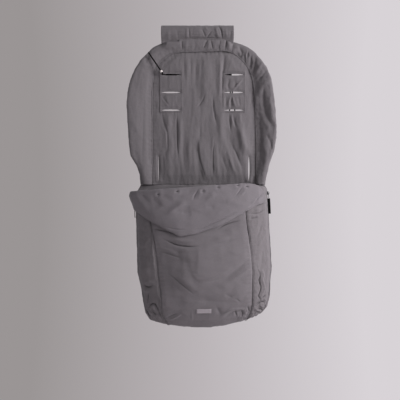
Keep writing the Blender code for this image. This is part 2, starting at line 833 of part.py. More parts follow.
def slider(word, side, materials, group, cutters):
    """Two plates on either side of the coils, a bridge between them and a bail on top."""
    frame = slider_frame(side)
    half_width = SLIDER_WIDTH / 2
    half_length = SLIDER_LENGTH / 2
    outer = SLIDER_PROUD - SLIDER_PLATE
    inner = -COIL_SUNK - COIL_THICK - 2 * GAP
    top = SLIDER_PROUD + BAIL_HEIGHT
    body = in_frame(
        frame, (outer, -half_width, -half_length), (SLIDER_PROUD, half_width, half_length),
        f"zip_slider_{word}", materials["metal"], group,
    )
    bridge_thick = BRIDGE_THICK / 2
    bridge_length = half_length * BRIDGE_SHARE
    inner_low = (inner - SLIDER_PLATE, -half_width, -half_length)
    bridge_low = (inner - GAP, -bridge_thick, -bridge_length)
    pieces = (
        ("inner_plate", inner_low, (inner, half_width, half_length)),
        ("bridge", bridge_low, (outer + GAP, bridge_thick, bridge_length)),
    )
    for kind, low, high in pieces:
        join(body, in_frame(frame, low, high, f"{kind}_{word}", materials["metal"], cutters))
    foot = SLIDER_PROUD - GAP
    bail_low = (foot, -BAIL_WIDTH / 2, -BAIL_LENGTH / 2)
    bail_high = (top, BAIL_WIDTH / 2, BAIL_LENGTH / 2)
    bail = in_frame(frame, bail_low, bail_high, f"bail_{word}", materials["metal"], cutters)
    post = BAIL_LENGTH / 2 - BAIL_BAR
    tunnel_low = (foot - GAP, -BAIL_WIDTH, -post)
    tunnel_high = (top - BAIL_BAR, BAIL_WIDTH, post)
    tunnel = in_frame(frame, tunnel_low, tunnel_high, f"tunnel_{word}", materials["metal"], cutters)
    cut(bail, tunnel)
    join(body, bail)
    return body


def pull_centre():
    """The pull's bar lies in the middle of the bail's tunnel."""
    return SLIDER_PROUD + (BAIL_HEIGHT - BAIL_BAR) / 2


def tab_corners(side):
    """The left tab lies along the muff's side. The right one is twisted to face the front."""
    top = -PULL_LENGTH - GAP
    low = top - TAB_LENGTH
    if side < 0:
        return (-TAB_THICK / 2, -TAB_WIDTH / 2, low), (TAB_THICK / 2, TAB_WIDTH / 2, top)
    return (-TAB_INSIDE, -TAB_THICK / 2, low), (TAB_WIDTH - TAB_INSIDE, TAB_THICK / 2, top)


def pull(word, side, materials, group, cutters):
    """A bar through the bail, two arms past its post, and a plate with a webbing tab."""
    frame = slider_frame(side) @ Matrix.Translation((pull_centre(), 0, 0))
    inside = BAIL_WIDTH / 2 + GAP
    outside = inside + PULL_ARM
    thick = PULL_ARM / 2
    mesh = bmesh.new()
    lay = frame @ Matrix.Rotation(math.pi / 2, 4, "X")
    bmesh.ops.create_cone(
        mesh, cap_ends=True, segments=PULL_BAR_SEGMENTS,
        radius1=PULL_BAR_RADIUS, radius2=PULL_BAR_RADIUS,
        depth=2 * (outside - PULL_EASE), matrix=lay,
    )
    body = closed_object(f"zip_pull_{word}", mesh, materials["metal"], group)
    for kind, sign in (("near", -1), ("far", 1)):
        low = (-thick, min(sign * inside, sign * outside), -PULL_ARM_LENGTH)
        high = (thick, max(sign * inside, sign * outside), thick)
        join(body, in_frame(frame, low, high, f"pull_{kind}_{word}", materials["metal"], cutters))
    plate_low = (-thick - PULL_EASE, -outside - PULL_EASE, -PULL_LENGTH)
    plate_high = (thick + PULL_EASE, outside + PULL_EASE, GAP - PULL_ARM_LENGTH)
    plate = in_frame(frame, plate_low, plate_high, f"pull_plate_{word}", materials["metal"], cutters)
    join(body, plate)
    tab_low, tab_high = tab_corners(side)
    tab = in_frame(frame, tab_low, tab_high, f"pull_tab_{word}", materials["black"], group)
    rounded(tab, TAB_THICK / 4)
    return body


# Cuff

def cuff_grid(proud_of):
    rows = []
    for down_share, swell in zip(CUFF_DOWN_SHARES, CUFF_SWELL_SHARES):
        row = []
        for index in range(len(whole_turns(0))):
            row.append(cuff_place(index, down_share, swell, proud_of))
        rows.append(row)
    return rows


def cuff_place(index, down_share, swell, proud_of):
    """A point of the cuff, out from the muff's face, on one of the face's own columns."""
    turn = whole_turns(0)[index]
    down = 0.0
    for _ in range(CUFF_PLACE_PASSES):
        sine = abs(math.sin(math.pi / 2 * turn))
        across = math.copysign(sine ** CURVE_POWER, turn)
        down = table(CUFF_EDGE_SHARES, across) * down_share
        turn = whole_turns(down)[index]
    lobe = CUFF_LOBE * (1 - down_share) if across < 0 else 0
    rest = CUFF_REST_GAP + (CUFF_SIDE_GAP + lobe) * abs(across) ** SIDE_DROP_POWER
    edge = CUFF_END_SHARE if index in (0, len(whole_turns(0)) - 1) else 1.0
    proud = proud_of(rest, CUFF_THICK * swell * edge)
    return muff_point(turn, down) + muff_normal(turn, down) * proud


def cuff(materials, group):
    """Lining, wadding and face, each between two distances out from the muff's face."""
    skin = CUFF_SKIN
    layers = (
        ("cuff_lining", lambda rest, pad: rest, lambda rest, pad: rest + skin),
        ("cuff_wadding", lambda rest, pad: rest + skin + GAP, lambda rest, pad: rest + skin + GAP + pad),
        (
            "cuff_face",
            lambda rest, pad: rest + skin + 2 * GAP + pad,
            lambda rest, pad: rest + 2 * skin + 2 * GAP + pad,
        ),
    )
    for name, near, far in layers:
        layer(name, cuff_grid(near), cuff_grid(far), materials[name], group)


def label(material, group):
    """A small bare label sewn low on the front."""
    def turns(down):
        places = [LABEL_X + LABEL_WIDTH / 2 * k for k in LABEL_TURNS]
        return [math.copysign(turn_at_side(abs(x) / muff_side(x, down)), x) for x in places]

    tall = LABEL_HEIGHT / (LEG_LENGTH - MUFF_TOP_DROP + BACK_DROP + BACK_LENGTH)
    downs = [LABEL_SHARE + tall * k for k in LABEL_DOWNS]
    near = shell_grid(turns, downs, -LABEL_REST)
    far = shell_grid(turns, downs, -LABEL_REST - LABEL_THICK)
    return layer("label", near, far, material, group)


# Head flap

def tangent(place, radius, side):
    """Angle on the loop's circle of the tangent that leads to a place."""
    away = math.atan2(place.z, place.y)
    return away - side * math.acos(radius / place.length)


def flap_path():
    """The flap's middle line in the plane across its loop, with its outward directions."""
    radius = LOOP_RADIUS + FLAP_THICK / 2
    front_y = REAR_Y - WING_THICK - GAP - FLAP_THICK / 2
    rear_y = REAR_Y + 3 * GAP + 2 * TAPE_PAD_THICK + FLAP_THICK / 2
    hem_top = Vector((0, front_y, -BACK_DROP - GAP))
    turn = Vector((0, rear_y, -FLAP_TURN_DROP))
    start = math.pi * 2 + tangent(hem_top, radius, 1)
    end = tangent(turn, radius, -1)
    path = [Vector((0, front_y, -FLAP_HEM_DROP)), hem_top]
    for step in range(FLAP_ARC_STEPS + 1):
        angle = blend(start, end, step / FLAP_ARC_STEPS)
        path.append(Vector((0, math.cos(angle), math.sin(angle))) * radius)
    path += [turn, Vector((0, rear_y, -FLAP_REAR_DROP))]
    return path


def path_outward(path, index):
    before = path[max(0, index - 1)]
    after = path[min(len(path) - 1, index + 1)]
    along = (after - before).normalized()
    return Vector((0, -along.z, along.y))


def head_flap(materials, group):
    path = flap_path()
    left = FLAP_CENTRE_X - FLAP_WIDTH / 2
    xs = [left + FLAP_WIDTH * share for share in FLAP_ACROSS_SHARES]

    def grid(offset):
        return [
            [point + path_outward(path, i) * offset + Vector((x, 0, 0)) for x in xs]
            for i, point in enumerate(path)
        ]

    layer("head_flap", grid(-FLAP_THICK / 2), grid(FLAP_THICK / 2), materials["face"], group)
    x0 = left + TAPE_PAD_SIDE_MARGIN
    x1 = left + FLAP_WIDTH - TAPE_PAD_SIDE_MARGIN
    z0 = -FLAP_REAR_DROP + TAPE_PAD_END_MARGIN
    z1 = z0 + TAPE_PAD_HEIGHT
    loop_y = REAR_Y + GAP
    hook_y = loop_y + TAPE_PAD_THICK + GAP
    box("loop_tape", (x0, loop_y, z0), (x1, loop_y + TAPE_PAD_THICK, z1), materials["tape"], group)
    box("hook_tape", (x0, hook_y, z0), (x1, hook_y + TAPE_PAD_THICK, z1), materials["tape"], group)


# Elastic

def elastic(materials, group, cutters):
    anchor_y = REAR_Y + GAP
    strap_y = anchor_y + ANCHOR_THICK + GAP
    low = -SLOT_TOP_DROP - STRAP_WIDTH / 2
    high = -SLOT_TOP_DROP + STRAP_WIDTH / 2
    for word, x in (("left", STRAP_LEFT_X), ("right", ANCHOR_RIGHT_X)):
        corner = (x + ANCHOR_WIDTH, anchor_y + ANCHOR_THICK, high)
        box(f"strap_anchor_{word}", (x, anchor_y, low), corner, materials["face"], group)
    corner = (STRAP_RIGHT_X, strap_y + STRAP_THICK, high)
    strap = box("rear_strap", (STRAP_LEFT_X, strap_y, low), corner, materials["black"], group)
    rounded(strap, STRAP_THICK / 4)
    tube("taut_cord", taut_route(strap_y), CORD_RADIUS, materials["black"], group)
    route = smooth_route(HANGING_CORD_ROUTE, ROUTE_STEPS)
    tube("hanging_cord", route, CORD_RADIUS, materials["black"], group)
    bead(materials["bead"], group, cutters)


def taut_ends():
    """The straight stretch of the taut cord, from the slot up to the wing's rim."""
    low = Vector((CORD_SLOT_X, CORD_Y, -SLOT_TOP_DROP))
    arch, edge = (back_point(*LEFT_WING_SHARES[RIM_STATION_INDEX][k:k + 2]) for k in (0, 2))
    rim = arch.lerp(edge, RIM_ACROSS_SHARE)
    rim.y = CORD_Y
    return low, rim


def taut_route(strap_y):
    low, rim = taut_ends()
    along = (rim - low).normalized()
    turn = CORD_BEND
    start = Vector((low.x, strap_y - GAP - CORD_END_GAP, low.z))
    back = Vector((0, 1, 0))
    bend_in = low + back * turn
    bend_out = low + along * turn
    points = [start] + [start.lerp(bend_in, share) for share in CORD_BACK_SHARES]
    middle = low.lerp(bend_in.lerp(bend_out, 0.5), 0.5)
    points += smooth_route([bend_in, middle, bend_out], ROUTE_STEPS)
    points += [bend_out.lerp(rim - along * turn, k / 4) for k in (1, 2, 3)]
    down = along * turn + back * RIM_DIP
    crest = rim + along * turn * RIM_TURN_SHARE + back * RIM_DIP * RIM_DIP_SHARE
    points += smooth_route([rim - along * turn, crest, rim + down], ROUTE_STEPS)
    return points


def bead(material, group, cutters):
    low, rim = taut_ends()
    along = (rim - low).normalized()
    place = low + along * (CORD_BEND + BEAD_START)
    turn = along.to_track_quat("Z", "Y").to_matrix().to_4x4()
    mesh = bmesh.new()
    lay = Matrix.Translation(place) @ turn
    bmesh.ops.create_uvsphere(
        mesh, u_segments=BEAD_SEGMENTS, v_segments=BEAD_RINGS, radius=BEAD_RADIUS, matrix=lay
    )
    ball = closed_object("cord_bead", mesh, material, group)
    hole = bmesh.new()
    bmesh.ops.create_cone(
        hole, cap_ends=True, segments=BEAD_SEGMENTS, radius1=BEAD_BORE_RADIUS,
        radius2=BEAD_BORE_RADIUS, depth=4 * BEAD_RADIUS, matrix=lay,
    )
    cut(ball, closed_object("bead_bore", hole, material, cutters))
    return ball


def harness_patches(materials, group, slots):
    """A stitched panel round each column of slots, as a second layer on the face."""
    for word, x in (("left", SLOT_LEFT_X), ("right", SLOT_RIGHT_X)):
        low = -SLOT_TOP_DROP - (SLOT_ROWS - 1) * SLOT_PITCH - PATCH_MARGIN - SLOT_HEIGHT / 2
        high = -SLOT_TOP_DROP + PATCH_MARGIN + SLOT_HEIGHT / 2
        half = SLOT_LENGTH / 2 + PATCH_MARGIN
        front = REAR_Y - CENTRE_THICK - GAP
        near = (x - half, front - SKIN_THICK, low)
        far = (x + half, front, high)
        patch = box(f"harness_patch_{word}", near, far, materials["face"], group)
        for cutter in slots:
            if f"_{word}_" in cutter.name:
                cut(patch, cutter)


def main():
    clear_scene()
    group = new_collection("stroller_footmuff")
    cutters = new_collection("cutters")
    materials = {
        "face": finish("grey_twill", (0.13, 0.112, 0.125), 0.85),
        "side": finish("grey_side_twill", (0.12, 0.105, 0.115), 0.85),
        "wadding": finish("wadding", (0.7, 0.7, 0.68), 0.95),
        "lining": finish("grey_lining", (0.16, 0.15, 0.16), 0.9),
        "rear_cover": finish("rear_cloth", (0.1, 0.09, 0.1), 0.85),
        "cuff_lining": finish("cuff_back", (0.13, 0.112, 0.125), 0.85),
        "cuff_wadding": finish("cuff_fill", (0.7, 0.7, 0.68), 0.95),
        "cuff_face": finish("cuff_cloth", (0.17, 0.15, 0.165), 0.88),
        "piping": finish("piping", (0.09, 0.08, 0.09), 0.8),
        "tape": finish("zip_tape", (0.08, 0.075, 0.08), 0.85),
        "coil": finish("zip_coil", (0.06, 0.06, 0.065), 0.5),
        "metal": finish("dark_metal", (0.1, 0.1, 0.11), 0.4, 0.8),
        "black": finish("black_elastic", (0.015, 0.014, 0.016), 0.7),
        "bead": finish("pale_plastic", (0.45, 0.43, 0.43), 0.4),
        "label": finish("bare_label", (0.3, 0.29, 0.3), 0.7),
    }
    wing = quilt("wing", wing_grid, materials, group)
    centre = quilt("centre", centre_grid, materials, group)
    leg = quilt("leg", leg_grid, materials, group)
    slots = slot_cutters(slot_places(), "slot", materials["face"], cutters)
    crotch = slot_cutters(crotch_places(), "slot", materials["face"], cutters)
    for sheets, tools in ((centre, slots), (leg, crotch)):
        for sheet in sheets.values():
            for cutter in tools:
                cut(sheet, cutter)
    harness_patches(materials, group, slots)
    tube("arch_piping", arch_seam(), ARCH_PIPING_RADIUS, materials["piping"], group)
    muff_shell(materials, group)
    foot_panel(materials["side"], group)
    zips(materials, group)
    for word, side in (("left", -1), ("right", 1)):
        seam_piping(f"front_piping_{word}", side, materials["piping"], group)
        slider(word, side, materials, group, cutters)
        pull(word, side, materials, group, cutters)
    cuff(materials, group)
    label(materials["label"], group)
    head_flap(materials, group)
    elastic(materials, group, cutters)


main()
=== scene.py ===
import math

import bmesh
import bpy
import numpy as np
from mathutils import Matrix, Vector, noise
from mathutils.bvhtree import BVHTree


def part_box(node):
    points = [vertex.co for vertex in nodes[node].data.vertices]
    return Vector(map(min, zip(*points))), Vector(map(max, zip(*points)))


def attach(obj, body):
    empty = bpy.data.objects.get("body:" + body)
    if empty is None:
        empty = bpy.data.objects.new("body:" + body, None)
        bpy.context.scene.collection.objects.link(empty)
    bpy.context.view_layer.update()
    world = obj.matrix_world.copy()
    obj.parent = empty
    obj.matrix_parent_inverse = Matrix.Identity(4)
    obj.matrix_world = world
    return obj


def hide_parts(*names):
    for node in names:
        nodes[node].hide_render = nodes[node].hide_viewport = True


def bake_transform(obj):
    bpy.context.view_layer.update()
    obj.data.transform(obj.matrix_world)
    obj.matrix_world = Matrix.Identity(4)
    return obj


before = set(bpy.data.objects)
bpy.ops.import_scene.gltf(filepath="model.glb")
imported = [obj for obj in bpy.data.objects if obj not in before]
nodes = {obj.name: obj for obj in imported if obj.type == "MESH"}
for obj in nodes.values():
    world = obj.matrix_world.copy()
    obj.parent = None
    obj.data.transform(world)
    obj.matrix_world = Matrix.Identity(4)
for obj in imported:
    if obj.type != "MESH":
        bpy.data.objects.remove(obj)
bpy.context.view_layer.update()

# Camera

shot = {"x": -0.0045, "y": -1.408, "z": -0.501, "lens": 42.0, "sensor": 36.0}

cameraData = bpy.data.cameras.new("camera")
cameraData.lens = shot["lens"]
cameraData.sensor_width = shot["sensor"]
camera = bpy.data.objects.new("camera", cameraData)
camera.location = (shot["x"], shot["y"], shot["z"])
camera.rotation_euler = (math.pi / 2, 0, 0)
bpy.context.scene.collection.objects.link(camera)
bpy.context.scene.camera = camera


# Small helpers

def link(thing):
    bpy.context.scene.collection.objects.link(thing)
    return thing


def linear(red, green, blue):
    # A colour given in display values from 0 to 255
    made = []
    for value in (red, green, blue):
        share = value / 255
        made.append(share / 12.92 if share <= 0.04045 else ((share + 0.055) / 1.055) ** 2.4)
    return (*made, 1)


def evaluatedMesh(thing):
    # A new mesh, with the thing's modifiers applied
    bpy.context.view_layer.update()
    graph = bpy.context.evaluated_depsgraph_get()
    return bpy.data.meshes.new_from_object(thing.evaluated_get(graph), depsgraph=graph)


def applyModifiers(thing):
    mesh = evaluatedMesh(thing)
    thing.modifiers.clear()
    thing.data = mesh


def fromWork(name, work):
    # A new object from a bmesh, which is freed
    mesh = bpy.data.meshes.new(name)
    work.to_mesh(mesh)
    work.free()
    return link(bpy.data.objects.new(name, mesh))


def vertexValues(mesh, key):
    made = np.zeros(len(mesh.vertices) * 3)
    mesh.vertices.foreach_get(key, made)
    return made.reshape(-1, 3)


def points(mesh):
    return vertexValues(mesh, "co")


def normals(mesh):
    return vertexValues(mesh, "normal")


def place(mesh, made):
    mesh.vertices.foreach_set("co", np.ascontiguousarray(made, dtype=np.float32).ravel())
    mesh.update()


def smoothShade(thing):
    for face in thing.data.polygons:
        face.use_smooth = True
    return thing


def paint(thing, material):
    thing.data.materials.clear()
    thing.data.materials.append(material)
    return thing


def rideOn(thing, body):
    # Moves a piece with its body. A piece on the apron is attached to no body: its place is baked into its
    # mesh. The apron is sewn to the back at the foot
    if body == "apron":
        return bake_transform(thing)
    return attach(thing, body)


def surfaceOf(thing):
    # A tree for finding places on a piece's surface
    mesh = thing.data
    mesh.calc_loop_triangles()
    faces = [tuple(t.vertices) for t in mesh.loop_triangles]
    return BVHTree.FromPolygons([v.co for v in mesh.vertices], faces)


# Materials

def newGroup(name, inputs, outputs, treeType="ShaderNodeTree"):
    group = bpy.data.node_groups.new(name, treeType)
    for label, kind, value in inputs:
        socket = group.interface.new_socket(label, in_out="INPUT", socket_type=kind)
        if value is not None:
            socket.default_value = value
    for label, kind in outputs:
        group.interface.new_socket(label, in_out="OUTPUT", socket_type=kind)
    return group, group.nodes.new("NodeGroupInput"), group.nodes.new("NodeGroupOutput")


def addNode(tree, kind, values=None, **settings):
    made = tree.nodes.new(kind)
    for key, value in settings.items():
        setattr(made, key, value)
    for key, value in (values or {}).items():
        made.inputs[key].default_value = value
    return made


def setOrLink(tree, socket, value):
    if isinstance(value, (int, float, tuple)):
        socket.default_value = value
    else:
        tree.links.new(value, socket)


def mathNode(tree, operation, *values):
    made = addNode(tree, "ShaderNodeMath", operation=operation)
    for socket, value in zip(made.inputs, values):
        setOrLink(tree, socket, value)
    return made.outputs[0]


def makeWeave():
    # Twill: diagonal ribs broken up by single threads
    group, start, end = newGroup(
        "weave",
        [("Vector", "NodeSocketVector", None), ("Ribs", "NodeSocketFloat", 260.0)],
        [("Height", "NodeSocketFloat"), ("Shade", "NodeSocketFloat")],
    )
    links = group.links
    turn = addNode(group, "ShaderNodeMapping")
    turn.inputs["Rotation"].default_value = (0.35, 0.5, 0.75)
    links.new(start.outputs["Vector"], turn.inputs["Vector"])
    ribs = addNode(group, "ShaderNodeTexWave", {"Distortion": 1.2, "Detail": 1.0, "Detail Scale": 2.0})
    links.new(turn.outputs["Vector"], ribs.inputs["Vector"])
    links.new(start.outputs["Ribs"], ribs.inputs["Scale"])
    threads = addNode(group, "ShaderNodeTexNoise", {"Scale": 1400.0, "Detail": 2.0})
    links.new(start.outputs["Vector"], threads.inputs["Vector"])
    heather = addNode(group, "ShaderNodeTexNoise", {"Scale": 420.0, "Detail": 3.0})
    links.new(start.outputs["Vector"], heather.inputs["Vector"])
    height = mathNode(group, "ADD", ribs.outputs["Fac"], threads.outputs["Fac"])
    links.new(height, end.inputs["Height"])
    shade = mathNode(group, "ADD", heather.outputs["Fac"], threads.outputs["Fac"])
    links.new(mathNode(group, "MULTIPLY", shade, 0.5), end.inputs["Shade"])
    return group


def makeWear():
    # Soft creases, uneven brushing and a few specks of lint
    group, start, end = newGroup(
        "wear",
        [("Vector", "NodeSocketVector", None), ("Creases", "NodeSocketFloat", 60.0)],
        [("Height", "NodeSocketFloat"), ("Brushed", "NodeSocketFloat"), ("Lint", "NodeSocketFloat")],
    )
    links = group.links
    folds = addNode(group, "ShaderNodeTexNoise", {"Detail": 5.0, "Roughness": 0.55, "Distortion": 0.6})
    links.new(start.outputs["Vector"], folds.inputs["Vector"])
    links.new(start.outputs["Creases"], folds.inputs["Scale"])
    links.new(folds.outputs["Fac"], end.inputs["Height"])
    brushed = addNode(group, "ShaderNodeTexNoise", {"Scale": 14.0, "Detail": 4.0, "Roughness": 0.6})
    links.new(start.outputs["Vector"], brushed.inputs["Vector"])
    links.new(brushed.outputs["Fac"], end.inputs["Brushed"])
    specks = addNode(group, "ShaderNodeTexVoronoi", {"Scale": 70.0, "Randomness": 1.0})
    links.new(start.outputs["Vector"], specks.inputs["Vector"])
    near = mathNode(group, "LESS_THAN", specks.outputs["Distance"], 0.035)
    links.new(near, end.inputs["Lint"])
    return group


weave = makeWeave()
wear = makeWear()


def mixColour(tree, factor, first, second):
    made = addNode(tree, "ShaderNodeMix", data_type="RGBA")
    # the sockets of a colour mix: factor, first colour, second colour
    for index, value in ((0, factor), (6, first), (7, second)):
        setOrLink(tree, made.inputs[index], value)
    return made.outputs[2]


def newMaterial(name):
    material = bpy.data.materials.new(name)
    material.use_nodes = True
    tree = material.node_tree
    return material, tree, tree.nodes["Principled BSDF"]


lintColour = (0.5, 0.48, 0.47, 1)
bumpDepth = {"creases": 0.004, "weave": 0.0004}


def fabric(name, values):
    # Woven cloth. colour is its middle tone, spread how far threads differ from it
    material, tree, shader = newMaterial(name)
    where = addNode(tree, "ShaderNodeTexCoord")
    woven = addNode(tree, "ShaderNodeGroup", node_tree=weave)
    worn = addNode(tree, "ShaderNodeGroup", node_tree=wear)
    woven.inputs["Ribs"].default_value = values["ribs"]
    worn.inputs["Creases"].default_value = values["creases"]
    for group in (woven, worn):
        tree.links.new(where.outputs["Object"], group.inputs["Vector"])
    colour = values["colour"]
    spread = values["spread"]
    dark = tuple(c * (1 - spread) for c in colour[:3]) + (1,)
    pale = tuple(min(1, c * (1 + spread)) for c in colour[:3]) + (1,)
    threads = mixColour(tree, woven.outputs["Shade"], dark, pale)
    brushed = mathNode(
        tree, "MULTIPLY_ADD", worn.outputs["Brushed"], values["brushed"], 1 - values["brushed"] / 2,
    )
    # painted shade: the colour darkens along sharp creases, by the crease attribute; from here brushed holds
    # this painted shade as well as the brushing
    crease = addNode(tree, "ShaderNodeAttribute", attribute_name="crease")
    shaded = mathNode(tree, "MULTIPLY_ADD", crease.outputs["Fac"], -values["creaseShade"], 1.0)
    brushed = mathNode(tree, "MULTIPLY", brushed, shaded)
    tone = addNode(tree, "ShaderNodeVectorMath", operation="SCALE")
    tree.links.new(threads, tone.inputs[0])
    tree.links.new(brushed, tone.inputs["Scale"])
    lint = mathNode(tree, "MULTIPLY", worn.outputs["Lint"], values["lint"])
    final = mixColour(tree, lint, tone.outputs[0], lintColour)
    tree.links.new(final, shader.inputs["Base Color"])
    shader.inputs["Roughness"].default_value = values["rough"]
    shader.inputs["Sheen Weight"].default_value = values["sheen"]
    shader.inputs["Sheen Roughness"].default_value = 0.5
    shader.inputs["Specular IOR Level"].default_value = values["specular"]
    broad = addNode(tree, "ShaderNodeBump", {
        "Strength": values["creaseStrength"], "Distance": bumpDepth["creases"],
    })
    tree.links.new(worn.outputs["Height"], broad.inputs["Height"])
    fine = addNode(tree, "ShaderNodeBump", {
        "Strength": values["weaveStrength"], "Distance": bumpDepth["weave"],
    })
    tree.links.new(woven.outputs["Height"], fine.inputs["Height"])
    tree.links.new(broad.outputs["Normal"], fine.inputs["Normal"])
    tree.links.new(fine.outputs["Normal"], shader.inputs["Normal"])
    return material


scuffValues = {
    "paler": 1.35, "lift": 0.01, "roughSwing": 0.25, "roughDrop": 0.1, "bump": 0.15, "depth": 0.0003,
}


def hard(name, values):
    # Plastic or coated metal with faint scuffs
    v = scuffValues
    material, tree, shader = newMaterial(name)
    where = addNode(tree, "ShaderNodeTexCoord")
    scuffs = addNode(tree, "ShaderNodeTexNoise", {"Scale": values["scuffs"], "Detail": 6.0})
    tree.links.new(where.outputs["Object"], scuffs.inputs["Vector"])
    colour = values["colour"]
    worn = tuple(min(1, c * v["paler"] + v["lift"]) for c in colour[:3]) + (1,)
    tree.links.new(mixColour(tree, scuffs.outputs["Fac"], colour, worn), shader.inputs["Base Color"])
    shader.inputs["Metallic"].default_value = values["metal"]
    lowest = values["rough"] - v["roughDrop"]
    rough = mathNode(tree, "MULTIPLY_ADD", scuffs.outputs["Fac"], v["roughSwing"], lowest)
    tree.links.new(rough, shader.inputs["Roughness"])
    bump = addNode(tree, "ShaderNodeBump", {"Strength": v["bump"], "Distance": v["depth"]})
    tree.links.new(scuffs.outputs["Fac"], bump.inputs["Height"])
    tree.links.new(bump.outputs["Normal"], shader.inputs["Normal"])
    return material


def cloth(colour, **changes):
    values = {
        "colour": colour, "spread": 0.2, "brushed": 0.09, "ribs": 260.0, "creases": 70.0,
        "creaseStrength": 0.12, "weaveStrength": 0.3, "rough": 0.88, "sheen": 0.1,
        "specular": 0.25, "lint": 0.2, "creaseShade": 0.5,
    }
    values.update(changes)
    return values


materials = {
    # painted light: the apron's cloth is the back's grey twill painted a little lighter, for the brighter
    # light that falls on the apron
    "apron": fabric("apronTwillPaintedLighter", cloth(linear(99, 94.5, 97.5))),
    "twill": fabric("greyTwill", cloth(linear(94, 90, 92.5))),
    "side": fabric("greySideTwill", cloth(linear(98, 93.5, 96), creaseStrength=0.16)),
    "rear": fabric("rearCloth", cloth(linear(80, 76, 78), ribs=420.0, creaseStrength=0.15)),
    "cuff": fabric("cuffCloth", cloth(linear(104, 99.5, 103), creases=50.0, creaseStrength=0.1)),
    "cuffBack": fabric("cuffBackCloth", cloth(linear(94, 89, 92))),
    "lining": fabric("muffLining", cloth(linear(78, 73, 76), ribs=520.0, sheen=0.2)),
    "piping": fabric("pipingCloth", cloth(linear(84, 80, 82), ribs=520.0, creaseStrength=0.2)),
    "thread": fabric("sewingThread", cloth(linear(82, 76, 79), ribs=900.0, creaseStrength=0.1)),
    "tape": fabric("wovenTape", cloth(linear(60, 56, 60), ribs=700.0, creaseStrength=0.15)),
    "black": fabric("blackElastic", cloth(
        linear(9, 8, 8), ribs=800.0, creaseStrength=0.1, lint=0.0, sheen=0.0, specular=0.1, brushed=0.05,
    )),
    "label": fabric("bareLabel", cloth(linear(142, 136, 140), ribs=700.0, creaseStrength=0.1, lint=0.1)),
    "coil": hard("zipCoil", {"colour": linear(52, 50, 53), "metal": 0.0, "rough": 0.5, "scuffs": 300.0}),
    "metal": hard("darkMetal", {"colour": linear(70, 68, 71), "metal": 0.8, "rough": 0.4, "scuffs": 220.0}),
    "bead": hard("palePlastic", {
        "colour": linear(196, 189, 186), "metal": 0.0, "rough": 0.4, "scuffs": 120.0,
    }),
}
print("materials made")


# Stage

stageValues = {
    "half": 1.6, "near": -1.9, "far": 0.3, "level": -1.28, "floor": linear(214, 210, 212), "rough": 0.8,
    # stops of the backdrop ramp: painted shade on the left, painted light on the right
    "stops": (
        (0.34, linear(154, 149, 149)), (0.66, linear(216, 211, 215)), (0.5, linear(186, 180, 183)),
    ),
    "bounce": (0.50, 0.49, 0.51, 1), "bounceStrength": 0.74,
}


def makeFloor():
    v = stageValues
    data = bpy.data.meshes.new("floor")
    corners = [(-v["half"], v["near"]), (v["half"], v["near"]), (v["half"], v["far"]), (-v["half"], v["far"])]
    data.from_pydata([(x, y, v["level"]) for x, y in corners], [], [(0, 1, 2, 3)])
    floor = link(bpy.data.objects.new("floor", data))
    pale, _, shader = newMaterial("paleFloor")
    shader.inputs["Base Color"].default_value = v["floor"]
    shader.inputs["Roughness"].default_value = v["rough"]
    data.materials.append(pale)


def makeWorld():
    # Seen straight on it is a soft ramp from left to right, painted light and shade on the backdrop: darker
    # on the left, away from the key lamp, paler on the right; for light it is an even tone
    v = stageValues
    world = bpy.data.worlds.new("studio")
    bpy.context.scene.world = world
    world.use_nodes = True
    tree = world.node_tree
    background = tree.nodes["Background"]
    where = addNode(tree, "ShaderNodeTexCoord")
    split = addNode(tree, "ShaderNodeSeparateXYZ")
    tree.links.new(where.outputs["Generated"], split.inputs[0])
    ramp = addNode(tree, "ShaderNodeValToRGB")
    stops = ramp.color_ramp.elements
    for stop, (position, colour) in zip(stops, v["stops"]):
        stop.position = position
        stop.color = colour
    position, colour = v["stops"][-1]
    stops.new(position).color = colour
    across = mathNode(tree, "MULTIPLY_ADD", split.outputs["X"], 0.5, 0.5)
    tree.links.new(across, ramp.inputs["Fac"])
    path = addNode(tree, "ShaderNodeLightPath")
    seen = mathNode(tree, "MAXIMUM", path.outputs["Is Camera Ray"], path.outputs["Is Transmission Ray"])
    colour = mixColour(tree, seen, v["bounce"], ramp.outputs["Color"])
    tree.links.new(colour, background.inputs["Color"])
    strength = mathNode(tree, "MULTIPLY_ADD", seen, 1 - v["bounceStrength"], v["bounceStrength"])
    tree.links.new(strength, background.inputs["Strength"])


def makeLight(name, values):
    data = bpy.data.lights.new(name, "AREA")
    data.shape = "RECTANGLE"
    data.size, data.size_y = values["size"]
    data.energy = values["power"]
    data.color = values["colour"]
    lamp = link(bpy.data.objects.new(name, data))
    lamp.location = values["at"]
    aim = Vector(values["aim"]) - Vector(values["at"])
    lamp.rotation_euler = aim.to_track_quat("-Z", "Y").to_euler()


makeFloor()
makeWorld()
makeLight("key", {
    "at": (2.0, -0.95, 0.1), "aim": (0, 0, -0.5), "size": (0.8, 1.3), "power": 82.0,
    "colour": (1.0, 0.98, 1.0),
})
makeLight("fill", {
    "at": (-0.3, -2.1, 0.6), "aim": (0, 0, -0.4), "size": (1.4, 1.4), "power": 6.0,
    "colour": (1.0, 0.99, 0.98),
})
makeLight("rear", {
    "at": (0.4, 1.8, 0.3), "aim": (0, 0, -0.5), "size": (1.6, 1.6), "power": 18.0,
    "colour": (1.0, 1.0, 1.0),
})
bpy.context.scene.view_settings.view_transform = "Standard"
print("stage made")


# Pads from the CAD

